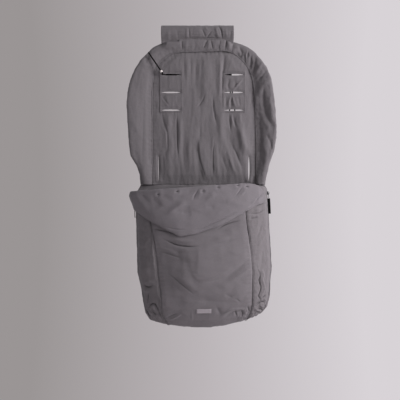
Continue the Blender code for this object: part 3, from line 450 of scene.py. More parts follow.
def padFrom(name, sources, voxel, rounds, plugs=()):
    # One closed pad round several CAD pieces, with any slots filled by plugs
    work = bmesh.new()
    for source in sources:
        work.from_mesh(nodes[source].data)
    for low, high in plugs:
        middle = (Vector(low) + Vector(high)) / 2
        size = Vector(high) - Vector(low)
        turn = Matrix.Translation(middle) @ Matrix.Diagonal((*size, 1))
        bmesh.ops.create_cube(work, size=1, matrix=turn)
    pad = fromWork(name, work)
    shrink = pad.modifiers.new("Remesh", "REMESH")
    shrink.mode = "VOXEL"
    shrink.voxel_size = voxel
    soften = pad.modifiers.new("Soften", "SMOOTH")
    soften.factor = 0.5
    soften.iterations = rounds
    applyModifiers(pad)
    return smoothShade(pad)


def nearLine(where, line):
    # Distance from each place to a line of points, and how far along it the nearest is
    best = np.full(len(where), 1e9)
    along = np.zeros(len(where))
    done = 0.0
    for start, end in zip(line, line[1:]):
        start = np.array(start, float)
        step = np.array(end, float) - start
        length = np.linalg.norm(step)
        share = np.clip((where - start) @ step / max(length ** 2, 1e-12), 0, 1)
        gap = np.linalg.norm(where - start - share[:, None] * step, axis=1)
        nearer = gap < best
        best[nearer] = gap[nearer]
        along[nearer] = done + share[nearer] * length
        done += length
    return best, along


def curved(line):
    # A line in the plane, curved through its points if it has more than two
    return [tuple(p)[:2] for p in smoothLine([(x, z, 0) for x, z in line], 5)] if len(line) > 2 else line


def endTaper(line, along, share):
    # 0 at both ends of a line, 1 from a share of its length inwards
    total = sum(math.dist(a, b) for a, b in zip(line, line[1:]))
    return np.clip(np.minimum(along, total - along) / (share * total), 0, 1)


foldValues = {
    "taper": 0.38, "atEnds": 0.12, "rise": 0.88, "fullness": 1.4, "hollowPower": 1.35, "ridgePower": 2,
    "ridgeTaper": 0.3,
}


def foldPush(where, folds, strength=1.0):
    # Ridges and hollows: each fold is a line in the plane, a width and a height
    v = foldValues
    push = np.zeros(len(where))
    for line, width, height in folds:
        route = curved(line)
        gap, along = nearLine(where, route)
        taper = endTaper(route, along, v["taper"])
        taper = v["atEnds"] + v["rise"] * np.sin(taper * math.pi / 2) ** v["fullness"]
        power = v["hollowPower"] if height < 0 else v["ridgePower"]
        push += strength * height * taper * np.exp(-((gap / width) ** power))
    return push


def ridgePush(where, ridges):
    # Ridges whose left side is steeper or gentler than the right
    push = np.zeros(len(where))
    for line, left, right, height in ridges:
        route = np.array(curved(frontLine(line)))
        gap, along = nearLine(where, route)
        taper = np.sin(endTaper(route, along, foldValues["ridgeTaper"]) * math.pi / 2)
        order = np.argsort(route[:, 1])
        middle = np.interp(where[:, 1], route[order, 1], route[order, 0])
        width = np.where(where[:, 0] < middle, left, right) / 1000
        push += height / 1000 * taper * np.exp(-((gap / width) ** 2))
    return push


# sharp and reach choose the creases whose faces are halved; line, deep, taper and seen shape the painted
# crease shade
creaseValues = {
    "sharp": 0.0028, "reach": 0.0042, "line": 0.0013, "deep": 0.0032, "taper": 0.3, "seen": 0.1,
}


def sharpLines(folds):
    # The narrow hollows among the folds, each with its depth
    sharp = creaseValues["sharp"]
    return [(curved(line), -height) for line, width, height in folds if height < 0 and width < sharp]


def refineNear(pad, folds):
    # Halves the faces along the sharp creases, so that these stay crisp
    flat = points(pad.data)[:, [0, 2]]
    near = np.zeros(len(flat), bool)
    for line, _ in sharpLines(folds):
        near |= nearLine(flat, line)[0] < creaseValues["reach"]
    near &= facing(pad.data, (0, -1, 0)) > creaseValues["seen"]
    work = bmesh.new()
    work.from_mesh(pad.data)
    edges = [e for e in work.edges if near[e.verts[0].index] and near[e.verts[1].index]]
    bmesh.ops.subdivide_edges(work, edges=edges, cuts=1, use_grid_fill=True)
    work.to_mesh(pad.data)
    work.free()
    smoothShade(pad)


def paintCreaseShade(pad, folds):
    # Painted shade for the cloth's material: a value that is 1 at the bottom of a sharp crease, where the
    # colour is darkened
    v = creaseValues
    flat = points(pad.data)[:, [0, 2]]
    shade = np.zeros(len(flat))
    for line, depth in sharpLines(folds):
        gap, along = nearLine(flat, line)
        taper = endTaper(line, along, v["taper"])
        shade = np.maximum(shade, min(1, depth / v["deep"]) * taper * np.exp(-((gap / v["line"]) ** 2)))
    shade *= facing(pad.data, (0, -1, 0)) > v["seen"]
    # the painted crease shade is kept in the crease attribute
    kept = pad.data.attributes.new("crease", "FLOAT", "POINT")
    kept.data.foreach_set("value", shade.astype(np.float32))


seamDraw = {"reach": 0.009, "amount": 0.0027, "stop": 0.0002}


def drawTo(where, line, values):
    # Moves an edge sideways towards a seam, so that the two pieces beside it meet there
    moved = where.copy()
    best = np.full(len(where), 1e9)
    towards = np.zeros((len(where), 2))
    flat = where[:, [0, 2]]
    for start, end in zip(line, line[1:]):
        start = np.array((start[0], start[2]))
        step = np.array((end[0], end[2])) - start
        share = np.clip((flat - start) @ step / max(step @ step, 1e-12), 0, 1)
        offset = start + share[:, None] * step - flat
        gap = np.linalg.norm(offset, axis=1)
        nearer = gap < best
        best[nearer] = gap[nearer]
        towards[nearer] = offset[nearer]
    share = np.clip(1 - best / values["reach"], 0, 1)
    pull = np.minimum(values["amount"] * share, np.maximum(best - values["stop"], 0))
    sideways = towards / np.maximum(best, 1e-9)[:, None] * pull[:, None]
    moved[:, 0] += sideways[:, 0]
    moved[:, 2] += sideways[:, 1]
    return moved


noiseValues = {"falloff": 0.8, "lacunarity": 2.1, "octaves": 3}


def noisePush(where, layers):
    # Layers of noise, each with a size in metres along X, Y and Z, a height and a sharpness
    v = noiseValues
    push = np.zeros(len(where))
    for size, height, sharp, seed in layers:
        scaled = where / np.array(size) + seed
        values = np.array([
            noise.fractal(Vector(p), v["falloff"], v["lacunarity"], v["octaves"]) for p in scaled
        ])
        if sharp:
            values = (1 - np.abs(values)) ** sharp - 0.5
        push += height * values
    return push


def seamPush(where, line, values):
    # The cloth drawn in along a seam, more at each pucker
    gap, along = nearLine(where, line)
    wander = 3 * np.sin(along / values["wander"])
    pucker = 0.5 + 0.5 * np.sin(along / values["pitch"] * 2 * math.pi + wander)
    depth = values["depth"] * (1 - values["pucker"] + values["pucker"] * pucker)
    dip = depth * np.exp(-((gap / values["width"]) ** 2))
    swell = values["swell"] * np.exp(-(((gap - values["reach"]) / values["reach"]) ** 2))
    ripple = values["ripple"] * (pucker - 0.5) * np.exp(-((gap / values["reach"]) ** 2))
    fill = values["fill"] * np.exp(-((gap / values["fillWidth"]) ** 2))
    return swell + ripple + fill - dip


def frontLine(pairs):
    # Points in millimetres along X and Z, as a line in the plane facing the viewer
    return [(x / 1000, z / 1000) for x, z in pairs]


def frontFolds(table):
    return [(frontLine(line), width / 1000, height / 1000) for line, width, height in table]


def facing(mesh, direction):
    return np.clip(normals(mesh) @ np.array(direction, float), 0, 1)


def pushOut(thing, amount):
    mesh = thing.data
    place(mesh, points(mesh) + normals(mesh) * amount[:, None])
    return thing


def centreLine(node, reach):
    # The middle of a CAD tube, from the rings of its mesh, in order
    left = [Vector(v.co) for v in nodes[node].data.vertices]
    rings = []
    while left:
        seed = left[0]
        ring = [p for p in left if (p - seed).length <= reach]
        left = [p for p in left if (p - seed).length > reach]
        rings.append(sum(ring, Vector()) / len(ring))
    far = max(rings, key=lambda p: sum((p - q).length for q in rings))
    line = [far]
    rings.remove(far)
    while rings:
        following = min(rings, key=lambda p: (p - line[-1]).length)
        line.append(following)
        rings.remove(following)
    return line


def smoothLine(line, steps):
    # More points along a line, curved through its own
    route = [Vector(p) for p in line]
    ends = [route[0] * 2 - route[1]] + route + [route[-1] * 2 - route[-2]]
    made = []
    for index in range(1, len(ends) - 2):
        a, b, c, d = ends[index - 1:index + 3]
        for step in range(steps):
            t = step / steps
            made.append(0.5 * (
                2 * b + (c - a) * t + (2 * a - 5 * b + 4 * c - d) * t ** 2
                + (3 * b - a - 3 * c + d) * t ** 3
            ))
    made.append(route[-1])
    return made


archLine = smoothLine(centreLine("arch_piping", 0.004), 3)
leftSeam = smoothLine(centreLine("front_piping_left", 0.005), 4)
rightSeam = smoothLine(centreLine("front_piping_right", 0.005), 4)
print("seam lines", len(archLine), len(leftSeam), len(rightSeam))


# Back

backValues = {
    "voxel": 0.0024, "rounds": 6, "foldStrength": 1.0, "foldNarrow": 0.95, "rearFrom": 0.5,
    "slotHalfLength": 0.0285, "slotHalfHeight": 0.00325,
    "slotX": (-0.092, 0.098), "slotZ": (-0.123, -0.1765, -0.230),
    "lapX": (-0.130, 0.143), "lapZ": -0.406, "lapHalfLength": 0.036, "lapHalfWidth": 0.003,
    "slotShowHalf": 0.0021, "lapShowHalf": (0.0005, 0.0017),
    "crotchZ": (-0.545, -0.585), "crotchX": 0.004, "crotchHalfLength": 0.023,
    "crotchHalfHeight": 0.0035, "slotDip": 0.0018, "slotReach": 0.005,
    "plugMargin": 0.004, "plugFront": -0.0075, "lapPlugFront": -0.0035, "plugRear": 0.0078,
}
# a slot's opening, with lens-shaped ends, and the block that cuts it
lensValues = {"steps": 11, "power": 2.5, "ends": 0.0002, "front": 0.05, "deep": 0.1}

wingFolds = (
    # left wing
    (((-157, -40), (-162, -75), (-170, -100)), 6, -2.5),
    (((-185, -60), (-168, -110)), 10, 1.5),
    (((-205, -150), (-196, -260), (-200, -330)), 14, 1.5),
    (((-172, -170), (-176, -300), (-178, -420)), 7, -1.6),
    (((-212, -250), (-190, -300)), 8, 1.2),
    (((-200, -345), (-185, -400), (-180, -445)), 9, -1.5),
    # neck
    (((-59, -23), (-58, -53)), 2.6, -2),
    (((-46, -23), (-45, -53)), 4, 1.2),
    (((19, -21), (12, -35), (4, -50)), 2.2, -2.4),
    (((27, -21), (34, -50)), 2.2, -2.4),
    (((22, -26), (21, -53)), 2.6, 1.6),
    (((34, -20), (52, -35), (61, -53)), 2.6, 1.2),
    (((56, -23), (52, -50)), 2.6, -2),
    (((75, -17), (71, -55)), 2.6, -3.2),
    (((83, -26), (82, -61)), 3.4, 2),
    (((96, -29), (91, -55)), 2.6, -2),
    (((-19, -26), (-19, -50)), 4, -0.9),
    # high on the right wing
    (((110, -55), (117, -85)), 2.6, -2.2),
    (((129, -61), (134, -91), (143, -109)), 2.4, -3),
    (((140, -55), (137, -76)), 2.4, -2.6),
    (((148, -67), (147, -100)), 2.6, -3),
    (((163, -76), (156, -118)), 2.8, -3),
    (((123, -61), (126, -91)), 2.6, 2),
    (((156, -73), (151, -109)), 2.6, 2.4),
    # right wing
    (((86, -40), (104, -70)), 6, 2.4),
    (((112, -38), (126, -72)), 5, -3.0),
    (((140, -50), (132, -84), (160, -126)), 5, 2.6),
    (((162, -66), (146, -106)), 5, -3.2),
    (((186, -84), (158, -132)), 6, 3.0),
    (((197, -108), (166, -150)), 5, -3.0),
    (((206, -140), (172, -182), (170, -250)), 8, 2.6),
    (((186, -150), (188, -230), (214, -292)), 6, -4.2),
    (((203, -170), (208, -240), (220, -280)), 7, 2.6),
    (((174, -230), (178, -330), (172, -420)), 6, -3.2),
    (((190, -300), (206, -330), (212, -366)), 5, -2.8),
    (((184, -330), (196, -372), (186, -420)), 7, 2.6),
    (((216, -330), (200, -384)), 6, 2.2),
)

centreFolds = (
    (((68, -55), (67, -91), (63, -133), (62, -192)), 4.2, -3),
    (((56, -73), (56, -180)), 4, 1.1),
    (((43, -79), (43, -198)), 5, -1),
    (((-52, -64), (-52, -139)), 4, -1.6),
    (((-43, -85), (-43, -189)), 4, 0.8),
    (((-33, -70), (-31, -174)), 3.4, -1.2),
    (((-16, -73), (-19, -168)), 3.6, -0.8),
    (((-4, -73), (-7, -145)), 3.4, 1),
    (((11, -183), (1, -207), (-16, -226)), 2.2, -1.6),
    (((34, -189), (36, -228), (45, -275)), 2.6, -1.8),
    (((39, -317), (34, -367), (36, -436)), 2.6, -2.4),
    (((-12, -329), (-9, -358), (-3, -388), (15, -442)), 2.6, -2),
    (((-22, -347), (-19, -424)), 7, 1.6),
    (((-4, -275), (-7, -329)), 3.4, -1.4),
    (((-37, -299), (-37, -352), (-34, -418)), 7, 2),
    (((-55, -308), (-54, -406)), 5, -1.6),
    (((-74, -240), (-73, -293), (-71, -373)), 2.6, -3),
    (((-64, -249), (-61, -352)), 5, 1.5),
    (((-120, -240), (-111, -275), (-103, -305), (-102, -370)), 3.4, -3),
    (((-100, -240), (-94, -287)), 6, 1.6),
    (((-89, -308), (-88, -373)), 5, 1.5),
    (((73, -269), (88, -329), (105, -364), (122, -403), (126, -445)), 11, -3),
    (((96, -341), (108, -370), (120, -406)), 2.7, -1.4),
    (((117, -281), (126, -329), (138, -358)), 9, 3.2),
    (((58, -213), (59, -293), (61, -347)), 9, 2.8),
    (((58, -358), (67, -388), (79, -421)), 5, -2.4),
    (((79, -352), (91, -394), (105, -430)), 5.5, 2.4),
    (((46, -352), (49, -436)), 5, 1.6),
    (((94, -246), (98, -263), (105, -286)), 2.8, -3.4),
    (((82, -240), (85, -269), (89, -302)), 2.6, -2.2),
    (((90, -243), (94, -281)), 2.6, 2),
    (((113, -240), (117, -275)), 5, 1.8),
    # between the right slots
    (((85, -136), (79, -156), (86, -174)), 4, -2.6),
    (((92, -176), (105, -159), (122, -140)), 2.6, 2.4),
    (((101, -142), (101, -171)), 2.8, -2.2),
    (((89, -186), (83, -204), (82, -226)), 2.4, 2.2),
    (((92, -186), (96, -204), (102, -224)), 2.4, 2.2),
    (((89, -195), (90, -225)), 2.4, -2.8),
    (((74, -189), (73, -225)), 2.8, -2.4),
    (((111, -189), (116, -225)), 3, -2.4),
    # between the left slots
    (((-120, -189), (-105, -208), (-94, -222)), 1.9, -1.5),
    # above them
    (((-76, -76), (-100, -97), (-117, -118)), 3.2, 0.6),
    (((-91, -76), (-114, -100), (-123, -115)), 2.6, -0.5),
)


# ridges: a line, how wide its left and right sides are, and its height
centreRidges = (
    (((9, -58), (10, -145), (10, -222)), 9, 22, 3.6),
    (((55, -55), (55, -133), (55, -192)), 10, 5, 1.4),
    (((-7, -311), (-4, -358), (1, -394), (16, -445)), 6, 20, 4),
    (((37, -281), (34, -358), (37, -436)), 4, 14, 1.8),
    (((111, -269), (120, -323), (132, -370)), 9, 20, 3.6),
    (((-70, -240), (-70, -305), (-67, -376)), 4, 14, 1.6),
    (((-114, -240), (-105, -299), (-100, -376)), 5, 12, 1.6),
)


def slotBoxes():
    # Middle and half size of each slot of the centre, in X and Z
    made = []
    v = backValues
    for x in v["slotX"]:
        for z in v["slotZ"]:
            made.append((x, z, v["slotHalfLength"], v["slotHalfHeight"]))
    for x in v["lapX"]:
        made.append((x, v["lapZ"], v["lapHalfWidth"], v["lapHalfLength"]))
    return made


def crotchBoxes():
    v = backValues
    return [(v["crotchX"], z, v["crotchHalfLength"], v["crotchHalfHeight"]) for z in v["crotchZ"]]


def plugsFor(boxes, front):
    v = backValues
    margin = v["plugMargin"]
    return [
        ((x - a - margin, front, z - b - margin), (x + a + margin, v["plugRear"], z + b + margin))
        for x, z, a, b in boxes
    ]


def slotPush(where, boxes):
    # Cloth drawn in round each slot's bound edge
    push = np.zeros(len(where))
    for x, z, a, b in boxes:
        dx = np.maximum(np.abs(where[:, 0] - x) - a, 0)
        dz = np.maximum(np.abs(where[:, 2] - z) - b, 0)
        gap = np.hypot(dx, dz)
        push -= backValues["slotDip"] * np.exp(-((gap / backValues["slotReach"]) ** 2))
    return push


def slotLean(x, z):
    # The slots hang open a little on the slant: how far the hole shifts for each metre of depth
    return (x - shot["x"]) / -shot["y"], (z - shot["z"]) / -shot["y"]


def slotCutter(name, x, z, a, b):
    # A lens-ended slot shape, deeper than the pad
    c = lensValues
    leanX, leanZ = slotLean(x, z)
    outline = []
    long, short = max(a, b), min(a, b)
    for turn in range(c["steps"] + 1):
        share = turn / c["steps"] * 2 - 1
        outline.append((share * long, short * (1 - abs(share) ** c["power"]) + c["ends"]))
    outline += [(u, -v) for u, v in reversed(outline)]
    if a < b:
        outline = [(v, u) for u, v in outline]
    work = bmesh.new()
    front = [
        work.verts.new((x + u - c["front"] * leanX, -c["front"], z + v - c["front"] * leanZ))
        for u, v in outline
    ]
    made = bmesh.ops.extrude_face_region(work, geom=[work.faces.new(front)])
    moved = [v for v in made["geom"] if isinstance(v, bmesh.types.BMVert)]
    bmesh.ops.translate(work, verts=moved, vec=(c["deep"] * leanX, c["deep"], c["deep"] * leanZ))
    bmesh.ops.recalc_face_normals(work, faces=work.faces)
    return fromWork(name, work)


def shownBoxes(boxes):
    # The slots as they hang closed: the length of each hole, but only a slit of its width
    v = backValues
    made = []
    for x, z, a, b in boxes:
        if a > b:
            made.append((x, z, a, v["slotShowHalf"]))
        else:
            made.append((x, z, v["lapShowHalf"][0 if x < 0 else 1], b))
    return made


def cutSlots(pad, boxes):
    cutters = []
    for index, (x, z, a, b) in enumerate(shownBoxes(boxes)):
        cutter = slotCutter(f"slotCutter{index}", x, z, a, b)
        cutters.append(cutter)
        cut = pad.modifiers.new("Slot", "BOOLEAN")
        cut.operation = "DIFFERENCE"
        cut.solver = "EXACT"
        cut.object = cutter
    applyModifiers(pad)
    for cutter in cutters:
        bpy.data.objects.remove(cutter)
    smoothShade(pad)


seamValues = {
    "pitch": 0.012, "depth": 0.0012, "pucker": 0.4, "width": 0.0026, "swell": 0.0006,
    "reach": 0.016, "ripple": 0.0006, "fill": 0.0044, "fillWidth": 0.012, "wander": 0.037,
}
hipLine = [(-0.20, 0, -0.4552), (0.20, 0, -0.4552)]


def narrowed(folds):
    v = backValues
    return [(line, width * v["foldNarrow"], height) for line, width, height in frontFolds(folds)]


def meetSeams(pad, lines):
    # Draws a pad's edges to the seams that it shares with its neighbours
    where = points(pad.data)
    for line in lines:
        where = drawTo(where, line, seamDraw)
    place(pad.data, where)


neckValues = {
    "left": -0.121, "right": 0.097, "fade": 0.016, "top": -0.034, "low": -0.056, "front": -0.0134,
    "backFrom": 0.0055, "backFade": 0.007, "rimLeft": -0.070, "rimRight": 0.080, "rimFade": 0.01,
    "rimLow": -0.040, "rimHigh": -0.030, "rimFrontFade": 0.008, "rise": 0.0138,
}
crownValues = {
    "from": 0.022, "width": 0.019, "height": (0.0042, 0.0030), "top": -0.09, "fade": 0.06,
}


def within(values, low, high, fade):
    # 1 between two limits, fading to 0 at each
    return np.clip((values - low) / fade, 0, 1) * np.clip((high - values) / fade, 0, 1)


def raiseNeck(pad):
    # Brings the cloth of the neck forward, over the head flap's sewn hem
    v = neckValues
    where = points(pad.data)
    inside = within(where[:, 0], v["left"], v["right"], v["fade"])
    down = np.clip((where[:, 2] - v["low"]) / (v["top"] - v["low"]), 0, 1)
    share = inside * down * down * (3 - 2 * down)
    share *= np.clip((v["backFrom"] - where[:, 1]) / v["backFade"], 0, 1)
    where[:, 1] += share * np.minimum(v["front"] - where[:, 1], 0)
    across = within(where[:, 0], v["rimLeft"], v["rimRight"], v["rimFade"])
    up = np.clip((where[:, 2] - v["rimLow"]) / (v["rimHigh"] - v["rimLow"]), 0, 1)
    front = np.clip(-where[:, 1] / v["rimFrontFade"], 0, 1)
    where[:, 2] += v["rise"] * across * front * up * up * (3 - 2 * up)
    place(pad.data, where)


def crownPush(where):
    # The wings stand fullest a little way out from the arch seam
    v = crownValues
    gap, _ = nearLine(where * (1, 0, 1), [(p[0], 0, p[2]) for p in archLine])
    height = np.where(where[:, 0] < 0, *v["height"])
    down = np.clip((v["top"] - where[:, 2]) / v["fade"], 0, 1)
    return height * down * np.exp(-(((gap - v["from"]) / v["width"]) ** 2))


def twoCloths(pad, front, rear, turned):
    # Front cloth, and the rear cloth on the faces that look away from the viewer
    paint(pad, materials[front])
    pad.data.materials.append(materials[rear])
    for face in pad.data.polygons:
        if face.normal.y > turned:
            face.material_index = 1


# layers of noise: size along X, Y and Z, height, sharpness, seed
backNoise = {
    "wing": (((0.045, 0.05, 0.11), 0.0018, 0, 3.1), ((0.022, 0.05, 0.034), 0.0011, 2, 7.7)),
    "wingFine": (((0.012, 0.02, 0.014), 0.00035, 0, 1.3),),
    "centre": (
        ((0.04, 0.05, 0.16), 0.0016, 0, 5.2), ((0.018, 0.05, 0.07), 0.0006, 2, 2.9),
        ((0.010, 0.02, 0.016), 0.0002, 0, 8.3),
    ),
    "leg": (((0.05, 0.05, 0.12), 0.0018, 0, 4.4), ((0.02, 0.05, 0.03), 0.0007, 2, 6.1)),
}
wingCalm = {"from": -0.02, "over": 0.1, "least": 0.12}
legValues = {"voxel": 0.0034, "rounds": 5}


def makeWing():
    v = backValues
    pad = padFrom("wingPad", ("wing_face", "wing_wadding", "wing_rear_cover"), v["voxel"], v["rounds"])
    raiseNeck(pad)
    refineNear(pad, frontFolds(wingFolds))
    where = points(pad.data)
    flat = where[:, [0, 2]]
    seen = facing(pad.data, (0, -1, 0))
    push = foldPush(flat, narrowed(wingFolds), v["foldStrength"]) * seen
    right = np.clip((flat[:, 0] - wingCalm["from"]) / wingCalm["over"], wingCalm["least"], 1)
    push += right * noisePush(where, backNoise["wing"])
    push += noisePush(where, backNoise["wingFine"])
    push += crownPush(where) * seen
    push += seamPush(where, archLine, seamValues)
    pushOut(pad, push)
    meetSeams(pad, (archLine, hipLine))
    paintCreaseShade(pad, frontFolds(wingFolds))
    twoCloths(pad, "twill", "rear", v["rearFrom"])
    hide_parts("wing_face", "wing_wadding", "wing_rear_cover")
    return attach(pad, "back")


def makeCentre():
    v = backValues
    boxes = slotBoxes()
    plugs = plugsFor(boxes[:6], v["plugFront"]) + plugsFor(boxes[6:], v["lapPlugFront"])
    sources = ("centre_face", "centre_wadding", "centre_rear_cover")
    pad = padFrom("centrePad", sources, v["voxel"], v["rounds"], plugs)
    refineNear(pad, frontFolds(centreFolds))
    where = points(pad.data)
    flat = where[:, [0, 2]]
    seen = facing(pad.data, (0, -1, 0))
    push = foldPush(flat, narrowed(centreFolds), v["foldStrength"]) + ridgePush(flat, centreRidges)
    push *= seen
    push += noisePush(where, backNoise["centre"])
    push += seamPush(where, archLine, seamValues)
    push += slotPush(where, shownBoxes(boxes))
    pushOut(pad, push)
    meetSeams(pad, (archLine, hipLine))
    cutSlots(pad, boxes)
    paintCreaseShade(pad, frontFolds(centreFolds))
    twoCloths(pad, "twill", "rear", v["rearFrom"])
    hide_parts("centre_face", "centre_wadding", "centre_rear_cover")
    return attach(pad, "back")


def makeLeg():
    v = backValues
    boxes = crotchBoxes()
    sources = ("leg_face", "leg_wadding", "leg_rear_cover")
    plugs = plugsFor(boxes, v["plugFront"])
    pad = padFrom("legPad", sources, legValues["voxel"], legValues["rounds"], plugs)
    where = points(pad.data)
    push = noisePush(where, backNoise["leg"])
    push += slotPush(where, shownBoxes(boxes))
    pushOut(pad, push)
    meetSeams(pad, (hipLine,))
    cutSlots(pad, boxes)
    twoCloths(pad, "twill", "rear", v["rearFrom"])
    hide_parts("leg_face", "leg_wadding", "leg_rear_cover")
    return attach(pad, "back")


wingPad = makeWing()
print("wing made", len(wingPad.data.polygons))
centrePad = makeCentre()
print("centre made", len(centrePad.data.polygons))
legPad = makeLeg()
print("leg made", len(legPad.data.polygons))


# Muff

apronForms = (
    (((-72, -630), (-55, -698)), 22, -3.4),
    (((-61, -782), (15, -794)), 16, 2.6),
    (((86, -754), (125, -777)), 26, 2),
)

apronRidges = (
    (((15, -591), (15, -687), (7, -788)), 84, 84, 8),
    (((-128, -606), (-124, -690), (-118, -790)), 27, 60, -8),
    (((-36, -622), (-36, -690), (-40, -760)), 62, 26, 4),
    (((-7, -630), (-6, -675), (-16, -720)), 13, 34, 2.8),
    (((-27, -726), (24, -718), (74, -698), (136, -661)), 34, 6.5, 3.8),
    (((-145, -608), (-137, -675), (-128, -754)), 12, 8, 1.5),
)

apronFolds = (
    (((-108, -614), (-75, -628), (-42, -633), (-9, -632)), 2.1, -4.6),
    (((-100, -604), (-61, -616), (-10, -620)), 6, 2.6),
    (((-94, -639), (-27, -644)), 6, 1.2),
    (((-120, -649), (-94, -656), (-59, -666)), 1.9, -2),
    (((-117, -640), (-69, -653)), 4, 1.4),
    (((-96, -712), (-75, -726), (-51, -745), (-22, -770)), 1.9, -1.9),
    (((-75, -712), (-44, -734), (-10, -758)), 8, 1.5),
    (((-140, -583), (-94, -592), (-64, -601)), 2, -3.4),
    (((42, -587), (69, -571), (111, -559)), 2.2, -3.4),
    (((14, -601), (47, -594), (85, -573), (122, -560)), 7, -1.6),
    (((28, -628), (63, -621), (91, -614)), 2.8, -2.6),
    (((32, -616), (83, -605)), 4, 1.8),
    (((-28, -705), (-10, -723), (12, -726)), 4, 1),
    (((12, -726), (40, -718), (69, -704)), 4, 1.4),
    (((-44, -664), (-38, -704)), 14, -1.6),
    (((18, -732), (66, -722), (97, -702), (130, -675)), 6.5, -4),
    (((63, -739), (108, -715), (142, -692)), 5, 2.2),
    (((66, -768), (88, -779)), 2.8, -1.4),
    (((97, -782), (111, -794)), 2.6, -1.4),
    (((57, -836), (85, -817), (125, -815)), 3, 3.4),
    (((63, -844), (91, -827), (128, -824)), 2.8, -3.6),
    (((43, -808), (55, -833)), 5, -2.8),
    (((97, -822), (102, -838)), 2.2, -3.2),
    (((116, -819), (119, -836)), 2.2, -3),
    (((133, -808), (139, -827)), 2.2, -3),
    (((-28, -816), (-28, -853)), 2, 1.2),
    (((-92, -850), (-58, -831)), 2.6, 3),
    (((-103, -844), (-72, -829)), 2.4, -2.4),
)

sideFolds = (
    # left side
    (((-187, -582), (-161, -597)), 5, -2),
    (((-187, -625), (-155, -640)), 6, 1.8),
    (((-187, -660), (-158, -669)), 5, -2.2),
    (((-184, -698), (-152, -712)), 7, 2.2),
    (((-170, -750), (-155, -755), (-142, -749)), 2.6, -5),
    (((-175, -740), (-146, -737)), 4, 2.6),
    (((-172, -764), (-149, -767)), 4.5, 2.2),
    (((-154, -770), (-158, -805)), 2.6, -2.8),
    (((-154, -817), (-141, -802), (-126, -817)), 2.4, -5.4),
    (((-146, -825), (-132, -838)), 2.2, -4.4),
    (((-138, -796), (-123, -828)), 2.2, -4.2),
    (((-158, -824), (-143, -841)), 2.6, 3.2),
    (((-143, -811), (-132, -824)), 2.2, 3.4),
    (((-125, -825), (-116, -848)), 2.2, -3.8),
    # right side
    (((140, -521), (163, -515), (184, -507)), 2.2, -2.8),
    (((152, -533), (175, -524)), 2.6, 2.2),
    (((134, -540), (163, -539), (187, -527)), 2.4, -2),
    (((137, -554), (166, -550)), 2.4, -2.8),
    (((158, -611), (178, -570)), 3.4, -2.2),
    (((161, -637), (189, -591)), 5, 2.2),
    (((178, -640), (175, -680), (169, -709)), 9, -3.2),
    (((160, -695), (169, -718), (165, -733), (172, -756), (165, -780), (172, -792), (156, -814)), 2, -3.8),
    (((171, -698), (180, -718), (176, -733), (183, -759), (176, -782)), 3, 2.6),
    (((158, -808), (175, -799), (189, -805)), 2.2, -5.4),
    (((166, -817), (182, -828)), 2.4, -5.4),
    (((175, -788), (189, -779)), 2.2, -3.8),
    (((158, -825), (175, -838)), 2.4, -3.8),
    (((169, -808), (185, -817)), 2.2, 4.2),
    (((155, -817), (166, -828)), 2.4, 3.6),
    (((181, -789), (192, -798)), 2.2, 3.2),
)

muffSeamValues = {
    "pitch": 0.013, "depth": 0.0026, "pucker": 0.4, "width": 0.0026, "swell": 0.0010,
    "reach": 0.018, "ripple": 0.0009, "fill": 0.0, "fillWidth": 0.012, "wander": 0.037,
}

footGather = {
    "low": -0.885, "high": -0.79, "pitch": 0.014, "height": 0.0022, "middle": (0.004, -0.01),
    "from": 0.07, "fade": 0.07, "turn": 0.15, "wander": 0.02,
}


def gatherPush(where, values):
    # Fine vertical gathers towards the foot's seam
    across = where[:, 0] - values["middle"][0]
    share = np.clip((values["high"] - where[:, 2]) / (values["high"] - values["low"]), 0, 1)
    edge = np.clip((np.abs(across) - values["from"]) / values["fade"], 0, 1)
    angle = np.arctan2(where[:, 1] - values["middle"][1], across) * values["turn"]
    wander = 2 * np.sin(where[:, 0] / values["wander"])
    wave = np.sin((where[:, 0] + angle) / values["pitch"] * 2 * math.pi + wander)
    return values["height"] * share ** 2 * edge * wave


cornerPlaces = (
    ((-0.146, -0.03, -0.818), 0.030), ((0.166, -0.03, -0.822), 0.032), ((0.122, -0.03, -0.836), 0.026),
)
cornerFade = 0.02


def cornerShare(where):
    # 1 at the crumpled lower corners of the muff, 0 away from them
    share = np.zeros(len(where))
    for spot, reach in cornerPlaces:
        gap = np.linalg.norm((where - np.array(spot)) * (1, 0.5, 1), axis=1)
        share = np.maximum(share, np.exp(-((gap / reach) ** 2)))
    return share * np.clip(-where[:, 1] / cornerFade, 0, 1)


def sideOfSeams(where):
    # -1 left of the left seam, 1 right of the right seam, 0 between, by height
    made = np.zeros(len(where), int)
    for sign, line in ((-1, leftSeam), (1, rightSeam)):
        ordered = sorted(((p.z, p.x) for p in line))
        edge = np.interp(where[:, 2], [z for z, _ in ordered], [x for _, x in ordered])
        made[(where[:, 0] - edge) * sign > 0] = sign
    return made


apronValues = {
    "voxel": 0.0026, "rounds": 8, "wrap": 1.6, "calm": 0.35, "middle": (0.004, 0.004),
    "innerFrom": 0.1,
}
apronNoise = {
    "all": (((0.11, 0.11, 0.08), 0.0022, 0, 9.4), ((0.06, 0.06, 0.03), 0.0004, 2, 3.7)),
    "sides": (((0.024, 0.024, 0.03), 0.0012, 2, 12.5),),
    "corners": (((0.016, 0.016, 0.014), 0.0034, 0, 4.4), ((0.009, 0.009, 0.009), 0.0012, 2, 7.1)),
}


